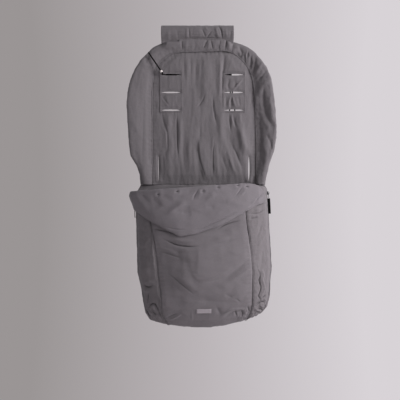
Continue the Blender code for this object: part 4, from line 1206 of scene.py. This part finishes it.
def apronPush(where, seen):
    v = apronValues
    flat = where[:, [0, 2]]
    outward = np.clip(seen * v["wrap"], 0, 1)
    sides = np.abs(sideOfSeams(where))
    push = foldPush(flat, frontFolds(apronFolds)) * seen
    push += (foldPush(flat, frontFolds(apronForms)) + ridgePush(flat, apronRidges)) * seen
    push += foldPush(flat, frontFolds(sideFolds)) * outward * sides
    push += noisePush(where, apronNoise["all"]) * (v["calm"] + (1 - v["calm"]) * outward)
    push += sides * noisePush(where, apronNoise["sides"]) * outward
    push += cornerShare(where) * noisePush(where, apronNoise["corners"])
    for line in (leftSeam, rightSeam):
        push += seamPush(where, line, muffSeamValues) * outward
    return push + gatherPush(where, footGather) * outward


def makeApron():
    v = apronValues
    sources = ("apron_face", "side_face_left", "side_face_right", "apron_wadding", "apron_lining")
    pad = padFrom("apronPad", sources, v["voxel"], v["rounds"])
    refineNear(pad, frontFolds(apronFolds + sideFolds))
    pushOut(pad, apronPush(points(pad.data), facing(pad.data, (0, -1, 0))))
    paintCreaseShade(pad, frontFolds(apronFolds + sideFolds))
    paint(pad, materials["apron"])
    pad.data.materials.append(materials["side"])
    pad.data.materials.append(materials["lining"])
    zones = sideOfSeams(np.array([f.center for f in pad.data.polygons]))
    for face, zone in zip(pad.data.polygons, zones):
        out = Vector((face.center.x - v["middle"][0], face.center.y - v["middle"][1], 0))
        inner = face.normal.dot(out) < 0 and face.normal.y > v["innerFrom"]
        face.material_index = 2 if inner else (1 if zone else 0)
    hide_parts(*sources)
    return rideOn(pad, "apron")


apronPad = makeApron()
print("apron made", len(apronPad.data.polygons))


wallValues = {"voxel": 0.0024, "rounds": 3, "footGrow": 0.0014}
wallNoise = (((0.03, 0.03, 0.03), 0.0010, 0, 2.2), ((0.012, 0.012, 0.012), 0.0004, 2, 4.8))


def makeWall(name, node, grow=0.0):
    # A thin padded wall of the side cloth: a gusset or the foot panel
    pad = padFrom(name, (node,), wallValues["voxel"], wallValues["rounds"])
    pushOut(pad, grow + noisePush(points(pad.data), wallNoise))
    paint(pad, materials["side"])
    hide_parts(node)
    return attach(pad, "back")


makeWall("gussetLeft", "gusset_left")
makeWall("gussetRight", "gusset_right")
makeWall("footPad", "foot_panel", wallValues["footGrow"])
print("walls made")


# Cuff

cuffFolds = (
    (((-9, -471), (-19, -487), (-24, -501)), 1.7, -1.9),
    (((0, -473), (-12, -498)), 4, 1),
    (((-41, -504), (-72, -524), (-103, -546)), 8, 3.4),
    (((-58, -535), (-27, -538)), 8, -2),
    (((-145, -498), (-114, -518)), 12, -2.2),
    (((-196, -484), (-173, -509), (-145, -538)), 8, 2.2),
    (((-176, -484), (-145, -512)), 6, -1.8),
    (((-100, -579), (-72, -584), (-44, -585)), 1.9, -2),
    (((116, -464), (97, -488)), 1.9, -2.2),
    (((128, -467), (109, -490)), 2.6, 1.6),
    (((150, -507), (164, -493), (178, -481)), 1.9, -2.8),
    (((139, -511), (159, -497)), 3, 1.6),
    (((133, -521), (159, -508)), 1.9, -1.8),
    (((-27, -592), (10, -577), (52, -557), (111, -529)), 1.9, -2),
    (((10, -504), (40, -481)), 8, 1.8),
    (((10, -518), (38, -521)), 7, -1.4),
    (((66, -501), (108, -509)), 9, 1.4),
)

# where the top edge is caught down by its stitches, across and up in millimetres
cuffCatches = (
    (-123, -485), (-69, -477), (4, -476), (47, -465), (103, -460), (129, -463),
)

cuffEnds = {
    "leftCorner": (-0.194, -0.492), "leftRadius": 0.019,
    "rightCorner": (0.139, -0.501), "rightRadius": 0.045,
    "rightWall": 0.1935, "wallLean": 0.142, "rightSqueeze": 0.2,
    "lobeFrom": -0.165, "lobeFade": 0.02, "lobeTop": -0.489, "lobeOut": 0.0043, "lobeLean": 0.25,
    "lobeIn": 0.002,
}


def roundCorner(where, corner, radius, sign):
    # Turns a square top corner of the cuff into a round one
    x = (where[:, 0] - corner[0]) * sign
    z = where[:, 2] - corner[1]
    outside = (x > 0) & (z > 0)
    length = np.hypot(x, z)
    share = np.where(outside & (length > radius), radius / np.maximum(length, 1e-9), 1)
    where[:, 0] = np.where(outside, corner[0] + sign * x * share, where[:, 0])
    where[:, 2] = np.where(outside, corner[1] + z * share, where[:, 2])
    return where


def shapeCuffEnds(pad):
    v = cuffEnds
    where = points(pad.data)
    past = np.clip(where[:, 0] - v["rightWall"] - v["wallLean"] * where[:, 1], 0, None)
    where[:, 0] -= past * (1 - v["rightSqueeze"])
    below = np.clip(v["lobeTop"] - where[:, 2], 0, None)
    lobe = np.clip((v["lobeFrom"] - where[:, 0]) / v["lobeFade"], 0, 1)
    where[:, 0] += lobe * np.minimum(below * v["lobeLean"] - v["lobeOut"], v["lobeIn"])
    where = roundCorner(where, v["leftCorner"], v["leftRadius"], -1)
    where = roundCorner(where, v["rightCorner"], v["rightRadius"], 1)
    place(pad.data, where)


catchValues = {"dip": 0.0018, "reach": 0.0036, "swell": 0.0006, "swellAt": 0.009, "swellReach": 0.005}


def catchPush(where):
    v = catchValues
    push = np.zeros(len(where))
    for x, z in cuffCatches:
        gap = np.hypot(where[:, 0] - x / 1000, where[:, 2] - z / 1000)
        push -= v["dip"] * np.exp(-((gap / v["reach"]) ** 2))
        push += v["swell"] * np.exp(-(((gap - v["swellAt"]) / v["swellReach"]) ** 2))
    return push


cuffValues = {"voxel": 0.0024, "rounds": 12, "roll": 0.0022, "calm": 0.3, "rearFrom": 0.3}
cuffNoise = (((0.10, 0.08, 0.07), 0.0020, 0, 6.6), ((0.05, 0.05, 0.03), 0.0003, 2, 1.9))


def makeCuff():
    v = cuffValues
    pad = padFrom("cuffPad", ("cuff_face", "cuff_wadding", "cuff_lining"), v["voxel"], v["rounds"])
    shapeCuffEnds(pad)
    refineNear(pad, frontFolds(cuffFolds))
    where = points(pad.data)
    seen = facing(pad.data, (0, -1, 0))
    push = foldPush(where[:, [0, 2]], frontFolds(cuffFolds)) * seen
    push += catchPush(where) * seen
    push += v["roll"] * np.clip(normals(pad.data)[:, 2], 0, 1)
    push += noisePush(where, cuffNoise) * (v["calm"] + (1 - v["calm"]) * seen)
    pushOut(pad, push)
    twoCloths(pad, "cuff", "cuffBack", v["rearFrom"])
    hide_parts("cuff_face", "cuff_wadding", "cuff_lining")
    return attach(pad, "cuff")


cuffPad = makeCuff()
print("cuff made", len(cuffPad.data.polygons))


# Head flap

flapFolds = (
    (((50, 20), (58, 2), (62, -22)), 2, -3.4),
    (((41, 14), (50, -19)), 4, 1.6),
    (((71, 14), (74, -19)), 3.4, 1.2),
    (((1, 8), (13, -17)), 2, -2),
    (((30, 0), (15, -19)), 2, -2),
    (((9, 14), (21, -1)), 3, 1.2),
    (((34, -10), (49, -19)), 2.2, -1.4),
    (((-37, 12), (-36, -20)), 2, -1.8),
    (((-44, 11), (-44, -22)), 4, 1),
    (((-73, 8), (-70, -22)), 3.4, -1),
    (((-99, 5), (-99, -25)), 5, 0.8),
    (((87, 5), (86, -22)), 3, -1.4),
    # the seam that joins flap and back
    (((-70, -18.4), (0, -18.2), (76, -18.4)), 1.8, -2.2),
)


flapValues = {
    "voxel": 0.0016, "rounds": 2, "frontFade": 0.008, "middle": -0.012, "half": 0.11, "calm": 0.6,
    "loopFrom": -0.03, "sheetMiddle": 0.002,
}
flapNoise = (((0.022, 0.06, 0.06), 0.0007, 0, 3.3), ((0.012, 0.05, 0.04), 0.0003, 2, 8.8))


def makeFlap():
    v = flapValues
    pad = padFrom("headFlapPad", ("head_flap",), v["voxel"], v["rounds"])
    where = points(pad.data)
    front = np.clip(-where[:, 1] / v["frontFade"], 0, 1)
    outer = np.clip(np.abs(where[:, 0] - v["middle"]) / v["half"], 0, 1)
    push = foldPush(where[:, [0, 2]], frontFolds(flapFolds)) * front
    push += noisePush(where, flapNoise) * (1 - v["calm"] * outer)
    # out from the loop's axis above, out from the sheet's middle below
    spoke = where * (0, 1, 1)
    spoke /= np.maximum(np.linalg.norm(spoke, axis=1), 1e-6)[:, None]
    sheet = np.array((0, 1.0, 0)) * np.sign(where[:, [1]] - v["sheetMiddle"])
    out = np.where((where[:, 2] > v["loopFrom"])[:, None], spoke, sheet)
    place(pad.data, where + out * push[:, None])
    paintCreaseShade(pad, frontFolds(flapFolds))
    paint(pad, materials["twill"])
    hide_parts("head_flap")
    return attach(pad, "head_flap")


headFlap = makeFlap()
print("flap made", len(headFlap.data.polygons))


# Thin trims

trimValues = {"weld": 1e-6, "flat": 0.6, "sharp": 0.9}


def trim(name, node, material, body, cuts=3, size=0.01, bevel=0.0003, height=0.0):
    # A thin sewn piece with softened edges, from its CAD shape
    v = trimValues
    work = bmesh.new()
    work.from_mesh(nodes[node].data)
    bmesh.ops.remove_doubles(work, verts=work.verts, dist=v["weld"])
    bmesh.ops.join_triangles(
        work, faces=work.faces, angle_face_threshold=v["flat"], angle_shape_threshold=v["flat"],
    )
    sharp = [e for e in work.edges if len(e.link_faces) == 2 and e.calc_face_angle() > v["sharp"]]
    bmesh.ops.bevel(work, geom=sharp, offset=bevel, segments=2, affect="EDGES", profile=0.5)
    long = [e for e in work.edges if e.calc_length() > size * 0.5]
    bmesh.ops.subdivide_edges(work, edges=long, cuts=cuts, use_grid_fill=True)
    thing = fromWork(name, work)
    if height:
        where = points(thing.data)
        where[:, 1] += noisePush(where, (((size, size, size), height, 0, 2.0),))
        place(thing.data, where)
    smoothShade(thing)
    paint(thing, materials[material])
    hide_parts(node)
    return rideOn(thing, body)


def tubeAlong(name, line, radius, material, sides=10):
    # A closed round cord through the points of a line
    work = bmesh.new()
    rings = []
    before = None
    for index, point in enumerate(line):
        ahead = line[min(index + 1, len(line) - 1)] - line[max(index - 1, 0)]
        along = ahead.normalized()
        side = before if before is not None else along.orthogonal().normalized()
        side = (side - along * side.dot(along)).normalized()
        before = side
        other = along.cross(side)
        angles = [2 * math.pi * step / sides for step in range(sides)]
        spots = [point + (side * math.cos(angle) + other * math.sin(angle)) * radius for angle in angles]
        rings.append([work.verts.new(spot) for spot in spots])
    for low, high in zip(rings, rings[1:]):
        for step in range(sides):
            following = (step + 1) % sides
            work.faces.new((low[step], low[following], high[following], high[step]))
    work.faces.new(list(reversed(rings[0])))
    work.faces.new(rings[-1])
    bmesh.ops.recalc_face_normals(work, faces=work.faces)
    return paint(smoothShade(fromWork(name, work)), materials[material])


def seenAt(tree, x, z):
    # Where a line of sight along Y meets a surface: the place and its normal, or None
    return tree.ray_cast(Vector((x, -0.3, z)), Vector((0, 1, 0)))[:2]


def onSurface(line, tree, lift):
    # The line laid on a surface as seen from the viewer's side, then lifted off it
    made = []
    for point in line:
        spot, normal = seenAt(tree, point.x, point.z)
        if spot is not None:
            made.append(spot + normal * lift)
    return made


wingTree = surfaceOf(wingPad)
centreTree = surfaceOf(centrePad)
apronTree = surfaceOf(apronPad)
cuffTree = surfaceOf(cuffPad)
flapTree = surfaceOf(headFlap)


seamLift = {"apart": 0.006, "sink": 0.0011, "deepest": 0.002}


def raisedSeam(line):
    # A seam's line, lifted until it lies almost level with the cloth on both sides
    v = seamLift
    made = []
    for index, point in enumerate(line):
        ahead = line[min(index + 1, len(line) - 1)] - line[max(index - 1, 0)]
        across = Vector((ahead.z, 0, -ahead.x)).normalized() * v["apart"]
        found = []
        for sign in (1, -1):
            spot = point + across * sign
            for tree in (centreTree, wingTree):
                hit = seenAt(tree, spot.x, spot.z)[0]
                if hit is not None and hit.y < v["deepest"]:
                    found.append(hit.y)
        level = sum(found) / len(found) + v["sink"] if found else point.y
        made.append(Vector((point.x, min(level, point.y), point.z)))
    return smoothLine(made[::3] + [made[-1]], 3)


pipingValues = {"arch": 0.0017, "front": 0.0012, "sunk": 0.0006}
archPiping = tubeAlong("archPiping", raisedSeam(archLine), pipingValues["arch"], "twill")
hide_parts("arch_piping")
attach(archPiping, "back")
for side, line in (("Left", leftSeam), ("Right", rightSeam)):
    sunk = [p + Vector((0, pipingValues["sunk"], 0)) for p in line]
    seam = tubeAlong(f"frontPiping{side}", sunk, pipingValues["front"], "piping")
    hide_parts(f"front_piping_{side.lower()}")
    rideOn(seam, "apron")
print("piping made")


patchValues = {
    "margin": 0.0055, "stitchMargin": 0.004, "columns": 44, "rows": 108, "thick": 0.0004,
    "deepest": 0.004, "overSlot": -0.0075, "lift": 0.0003, "clear": 0.0004,
}


def inLens(spot, box):
    # Whether a spot of a patch lies over the open slit of a slot
    x, z, a, b = box
    leanX, leanZ = slotLean(x, z)
    share = abs(spot.x - x - spot.y * leanX) / a
    reach = b * (1 - share ** lensValues["power"]) + patchValues["clear"] if share < 1 else 0
    return abs(spot.z - z - spot.y * leanZ) < reach


def patchSize(margin):
    # Half width, top and bottom of a patch that stands out this far round its slots
    v = backValues
    top = v["slotZ"][0] + v["slotHalfHeight"] + margin
    return v["slotHalfLength"] + margin, top, v["slotZ"][-1] - v["slotHalfHeight"] - margin


def patchGrid(x):
    # Places on the pad in rows and columns, smoothed so that the patch bridges fine wrinkles
    v = patchValues
    half, top, low = patchSize(v["margin"])
    grid = []
    for row in range(v["rows"] + 1):
        z = top + (low - top) * row / v["rows"]
        line = []
        for column in range(v["columns"] + 1):
            px = x - half + 2 * half * column / v["columns"]
            hit = seenAt(centreTree, px, z)[0]
            y = hit.y if hit is not None and hit.y < v["deepest"] else v["overSlot"]
            line.append(Vector((px, y - v["lift"], z)))
        grid.append(line)
    smooth = [[p.copy() for p in line] for line in grid]
    for row in range(1, v["rows"]):
        for column in range(1, v["columns"]):
            total = sum(grid[row + a][column + b].y for a in (-1, 0, 1) for b in (-1, 0, 1))
            smooth[row][column].y = min(total / 9, grid[row][column].y)
    return smooth


def makePatch(side, x):
    # The sewn panel round a column of slots, with the slots left open
    grid = patchGrid(x)
    boxes = shownBoxes(slotBoxes())
    work = bmesh.new()
    made = [[work.verts.new(p) for p in line] for line in grid]
    for row in range(patchValues["rows"]):
        for column in range(patchValues["columns"]):
            middle = (grid[row][column] + grid[row + 1][column + 1]) / 2
            if not any(inLens(middle, box) for box in boxes):
                upper, lower = made[row], made[row + 1]
                work.faces.new((upper[column], lower[column], lower[column + 1], upper[column + 1]))
    bmesh.ops.delete(work, geom=[v for v in work.verts if not v.link_faces], context="VERTS")
    thing = fromWork(f"harnessPatch{side}", work)
    thick = thing.modifiers.new("Thick", "SOLIDIFY")
    thick.thickness = patchValues["thick"]
    thick.offset = 0
    applyModifiers(thing)
    smoothShade(thing)
    paint(thing, materials["twill"])
    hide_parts(f"harness_patch_{side.lower()}")
    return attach(thing, "back")


slotColumns = backValues["slotX"]
patchLeft = makePatch("Left", slotColumns[0])
patchRight = makePatch("Right", slotColumns[1])
print("patches made")


# Stitches by geometry nodes

def repeatTree(name, inputs, makePiece):
    # Repeats a piece at even steps along a curve; makePiece gives its mesh and any uneven turn
    group, start, end = newGroup(
        name, [("Geometry", "NodeSocketGeometry", None), *inputs, ("Material", "NodeSocketMaterial", None)],
        [("Geometry", "NodeSocketGeometry")], "GeometryNodeTree",
    )
    steps = addNode(group, "GeometryNodeCurveToPoints", mode="LENGTH")
    many = addNode(group, "GeometryNodeInstanceOnPoints")
    real = addNode(group, "GeometryNodeRealizeInstances")
    coloured = addNode(group, "GeometryNodeSetMaterial")
    piece, turn = makePiece(group, start)
    instances = many.outputs["Instances"]
    if turn is not None:
        shaken = addNode(group, "GeometryNodeRotateInstances")
        group.links.new(instances, shaken.inputs["Instances"])
        group.links.new(turn, shaken.inputs["Rotation"])
        instances = shaken.outputs["Instances"]
    for source, target in (
        (start.outputs["Geometry"], steps.inputs["Curve"]),
        (start.outputs["Pitch"], steps.inputs["Length"]),
        (steps.outputs["Points"], many.inputs["Points"]),
        (piece, many.inputs["Instance"]),
        (steps.outputs["Rotation"], many.inputs["Rotation"]),
        (instances, real.inputs["Geometry"]),
        (real.outputs["Geometry"], coloured.inputs["Geometry"]),
        (start.outputs["Material"], coloured.inputs["Material"]),
        (coloured.outputs["Geometry"], end.inputs["Geometry"]),
    ):
        group.links.new(source, target)
    return group


def stitchPiece(group, start):
    # A short thread, a little uneven in its turn
    thread = addNode(group, "GeometryNodeMeshCylinder", {"Vertices": 6})
    group.links.new(start.outputs["Thickness"], thread.inputs["Radius"])
    group.links.new(start.outputs["Length"], thread.inputs["Depth"])
    uneven = addNode(
        group, "FunctionNodeRandomValue", {0: (-0.05, -0.05, -0.05), 1: (0.05, 0.05, 0.05)},
        data_type="FLOAT_VECTOR",
    )
    group.links.new(start.outputs["Seed"], uneven.inputs["Seed"])
    return thread.outputs["Mesh"], uneven.outputs[0]


stitching = repeatTree("stitches", [
    ("Pitch", "NodeSocketFloat", 0.0042), ("Length", "NodeSocketFloat", 0.0030),
    ("Thickness", "NodeSocketFloat", 0.00035), ("Seed", "NodeSocketInt", 7),
], stitchPiece)


def curveThrough(name, line):
    data = bpy.data.curves.new(name, "CURVE")
    data.dimensions = "3D"
    spline = data.splines.new("POLY")
    spline.points.add(len(line) - 1)
    for point, where in zip(spline.points, line):
        point.co = (*where, 1)
    return link(bpy.data.objects.new(name, data))


def repeatAlong(name, line, values, tree, material):
    # The tree's pieces along the line, as a plain mesh
    curve = curveThrough(name + "Curve", line)
    modifier = curve.modifiers.new("Repeat", "NODES")
    modifier.node_group = tree
    for item in tree.interface.items_tree:
        if item.item_type == "SOCKET" and item.in_out == "INPUT":
            if item.name in values:
                modifier[item.identifier] = values[item.name]
            if item.name == "Material":
                modifier[item.identifier] = materials[material]
    mesh = evaluatedMesh(curve)
    bpy.data.objects.remove(curve)
    made = link(bpy.data.objects.new(name, mesh))
    paint(made, materials[material])
    return smoothShade(made)


def joinAll(name, things):
    # Several meshes as one
    work = bmesh.new()
    for thing in things:
        work.from_mesh(thing.data)
    joined = fromWork(name, work)
    joined.data.materials.append(things[0].data.materials[0])
    for thing in things:
        bpy.data.objects.remove(thing)
    return smoothShade(joined)


def stitchLine(name, lines, body, material="thread", values=None):
    made = [
        repeatAlong(f"{name}{index}", line, values or {}, stitching, material)
        for index, line in enumerate(lines) if len(line) > 1
    ]
    joined = joinAll(name, made)
    return rideOn(joined, body)


def dense(pairs, step=0.004):
    # Points no further apart than a step along a line in X and Z, given in millimetres
    made = []
    for (x0, z0), (x1, z1) in zip(pairs, pairs[1:]):
        count = max(1, int(math.hypot(x1 - x0, z1 - z0) / 1000 / step))
        for index in range(count):
            share = index / count
            made.append(Vector(((x0 + (x1 - x0) * share) / 1000, 0, (z0 + (z1 - z0) * share) / 1000)))
    made.append(Vector((pairs[-1][0] / 1000, 0, pairs[-1][1] / 1000)))
    return made


def laid(pairs, tree, lift=0.0002):
    return onSurface(dense(pairs), tree, lift)


def patchOutline(x):
    half, top, low = (value * 1000 for value in patchSize(patchValues["stitchMargin"]))
    mid = x * 1000
    return [(mid - half, top), (mid + half, top), (mid + half, low), (mid - half, low), (mid - half, top)]


for side, x, patch in (("Left", slotColumns[0], patchLeft), ("Right", slotColumns[1], patchRight)):
    stitchLine(f"patchStitches{side}", [laid(patchOutline(x), surfaceOf(patch))], "back")
stitchLine("apronStitches", [
    laid([(-138, -600), (-130, -690), (-124, -760), (-116, -820)], apronTree),
    laid([(128, -560), (142, -640), (146, -720), (146, -790)], apronTree),
], "apron")
hemLine = laid([(-72, -22), (-20, -21.5), (66, -21.5)], flapTree, 0.0001)
stitchLine("hemStitches", [hemLine], "head_flap")
catchLines = [laid([(x - 2.6, z), (x + 2.6, z + 0.4)], cuffTree, 0.0) for x, z in cuffCatches]
stitchLine("cuffCatches", catchLines, "cuff", "black", {
    "Pitch": 0.0026, "Length": 0.0026, "Thickness": 0.0006,
})
wavy = laid([
    (163, -700), (166, -708), (172, -732), (170, -752), (176, -772), (168, -794), (152, -808),
], apronTree, 0.0)
wavySeam = tubeAlong("sideSeamRight", smoothLine(wavy, 2), 0.0007, "piping")
rideOn(wavySeam, "apron")
print("stitches made")


# Label

trim("bareLabel", "label", "label", "apron", cuts=2, bevel=0.0002)


# Zips

def stripMiddle(node, rows):
    # The middle of a zip strip at even heights, from its CAD mesh
    low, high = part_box(node)
    made = []
    for step in range(rows):
        z = low.z + (high.z - low.z) * (step + 0.5) / rows
        cut = bmesh.new()
        cut.from_mesh(nodes[node].data)
        found = bmesh.ops.bisect_plane(
            cut, geom=cut.verts[:] + cut.edges[:] + cut.faces[:], plane_co=(0, 0, z), plane_no=(0, 0, 1)
        )["geom_cut"]
        spots = [v.co.copy() for v in found if isinstance(v, bmesh.types.BMVert)]
        cut.free()
        if spots:
            made.append(sum(spots, Vector()) / len(spots))
    return made


def coilPiece(group, start):
    # A small round loop, one turn of a zip's coil
    circle = addNode(group, "GeometryNodeCurvePrimitiveCircle", {"Resolution": 10})
    group.links.new(start.outputs["Width"], circle.inputs["Radius"])
    wire = addNode(group, "GeometryNodeCurvePrimitiveCircle", {"Resolution": 5})
    group.links.new(start.outputs["Thickness"], wire.inputs["Radius"])
    loop = addNode(group, "GeometryNodeCurveToMesh")
    group.links.new(circle.outputs["Curve"], loop.inputs["Curve"])
    group.links.new(wire.outputs["Curve"], loop.inputs["Profile Curve"])
    return loop.outputs["Mesh"], None


coils = repeatTree("coils", [
    ("Pitch", "NodeSocketFloat", 0.0014), ("Width", "NodeSocketFloat", 0.00095),
    ("Thickness", "NodeSocketFloat", 0.0003),
], coilPiece)
coilRows = 24
tabValues = {"lean": {"left": 0.0, "right": 0.0028}, "stretch": 1.2}


def makeZip(side, half, body):
    piece = half.capitalize() + side.capitalize()
    node = f"zip_coil_{half}_{side}"
    line = smoothLine(stripMiddle(node, coilRows), 3)
    coil = repeatAlong(f"zipCoil{piece}", line, {}, coils, "coil")
    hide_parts(node)
    rideOn(coil, body)
    trim(f"zipTape{piece}", f"zip_tape_{half}_{side}", "tape", body, bevel=0.0001)


def makeTab(side):
    # The tab on a puller, a little longer than its solid
    tab = trim(
        f"pullTab{side.capitalize()}", f"pull_tab_{side}", "black", f"pull_{side}", cuts=2,
    )
    where = points(tab.data)
    top = where[:, 2].max()
    where[:, 0] -= tabValues["lean"][side]
    where[:, 2] = top + (where[:, 2] - top) * tabValues["stretch"]
    place(tab.data, where)


for side in ("left", "right"):
    makeZip(side, "back", "back")
    makeZip(side, "front", "apron")
for side in ("left", "right"):
    for node in (f"zip_slider_{side}", f"zip_pull_{side}"):
        paint(nodes[node], materials["metal"])
    makeTab(side)
print("zips made")


# Straps, tapes and cords

trim("rearStrap", "rear_strap", "black", "back", cuts=4, size=0.03, height=0.0006)
trim("strapAnchorLeft", "strap_anchor_left", "twill", "back", bevel=0.0005)
trim("strapAnchorRight", "strap_anchor_right", "twill", "back", bevel=0.0005)
trim("hookTape", "hook_tape", "tape", "head_flap", cuts=4, size=0.02)
trim("loopTape", "loop_tape", "tape", "back", cuts=4, size=0.02)

cordRadius = 0.0020
hangingRoute = (
    (84, 12.5, -134.3), (86, 12.8, -155), (88, 13.2, -177), (86.8, 13.6, -203),
    (85.5, 14, -230), (86, 14, -250), (89, 14, -262), (94, 14.3, -266.5), (99, 14.4, -262),
    (101.5, 14.5, -250), (101.7, 14.4, -230), (98.5, 14.2, -203), (94.5, 13.6, -177),
    (92, 13, -155), (89.8, 12.5, -134.3),
)
hangingLine = smoothLine([Vector(p) / 1000 for p in hangingRoute], 6)
hangingCord = tubeAlong("hangingCord", hangingLine, cordRadius, "black")
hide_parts("hanging_cord")
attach(hangingCord, "back")

tautLow = Vector((-0.116, -0.0155, -0.123))
tautHigh = Vector((-0.1556, -0.0155, -0.0645))
tautCrest = Vector((-0.1576, -0.0142, -0.0616))
tautEnd = Vector((-0.1589, -0.0105, -0.0596))
tautLine = [Vector((-0.116, 0.0112, -0.123)), Vector((-0.116, 0.0, -0.123))]
tautLine += smoothLine([
    Vector((-0.116, -0.0125, -0.123)), Vector((-0.1164, -0.0148, -0.1224)),
    Vector((-0.1177, -0.0155, -0.1205)),
], 4)
tautLine += [tautLow.lerp(tautHigh, share) for share in (0.2, 0.4, 0.6, 0.8, 0.95)]
tautLine += smoothLine([tautHigh, tautCrest, tautEnd], 4)
tautCord = tubeAlong("tautCord", tautLine, cordRadius, "black")
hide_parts("taut_cord")
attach(tautCord, "back")

bead = nodes["cord_bead"]
smoothShade(bead)
paint(bead, materials["bead"])
print("cords made")
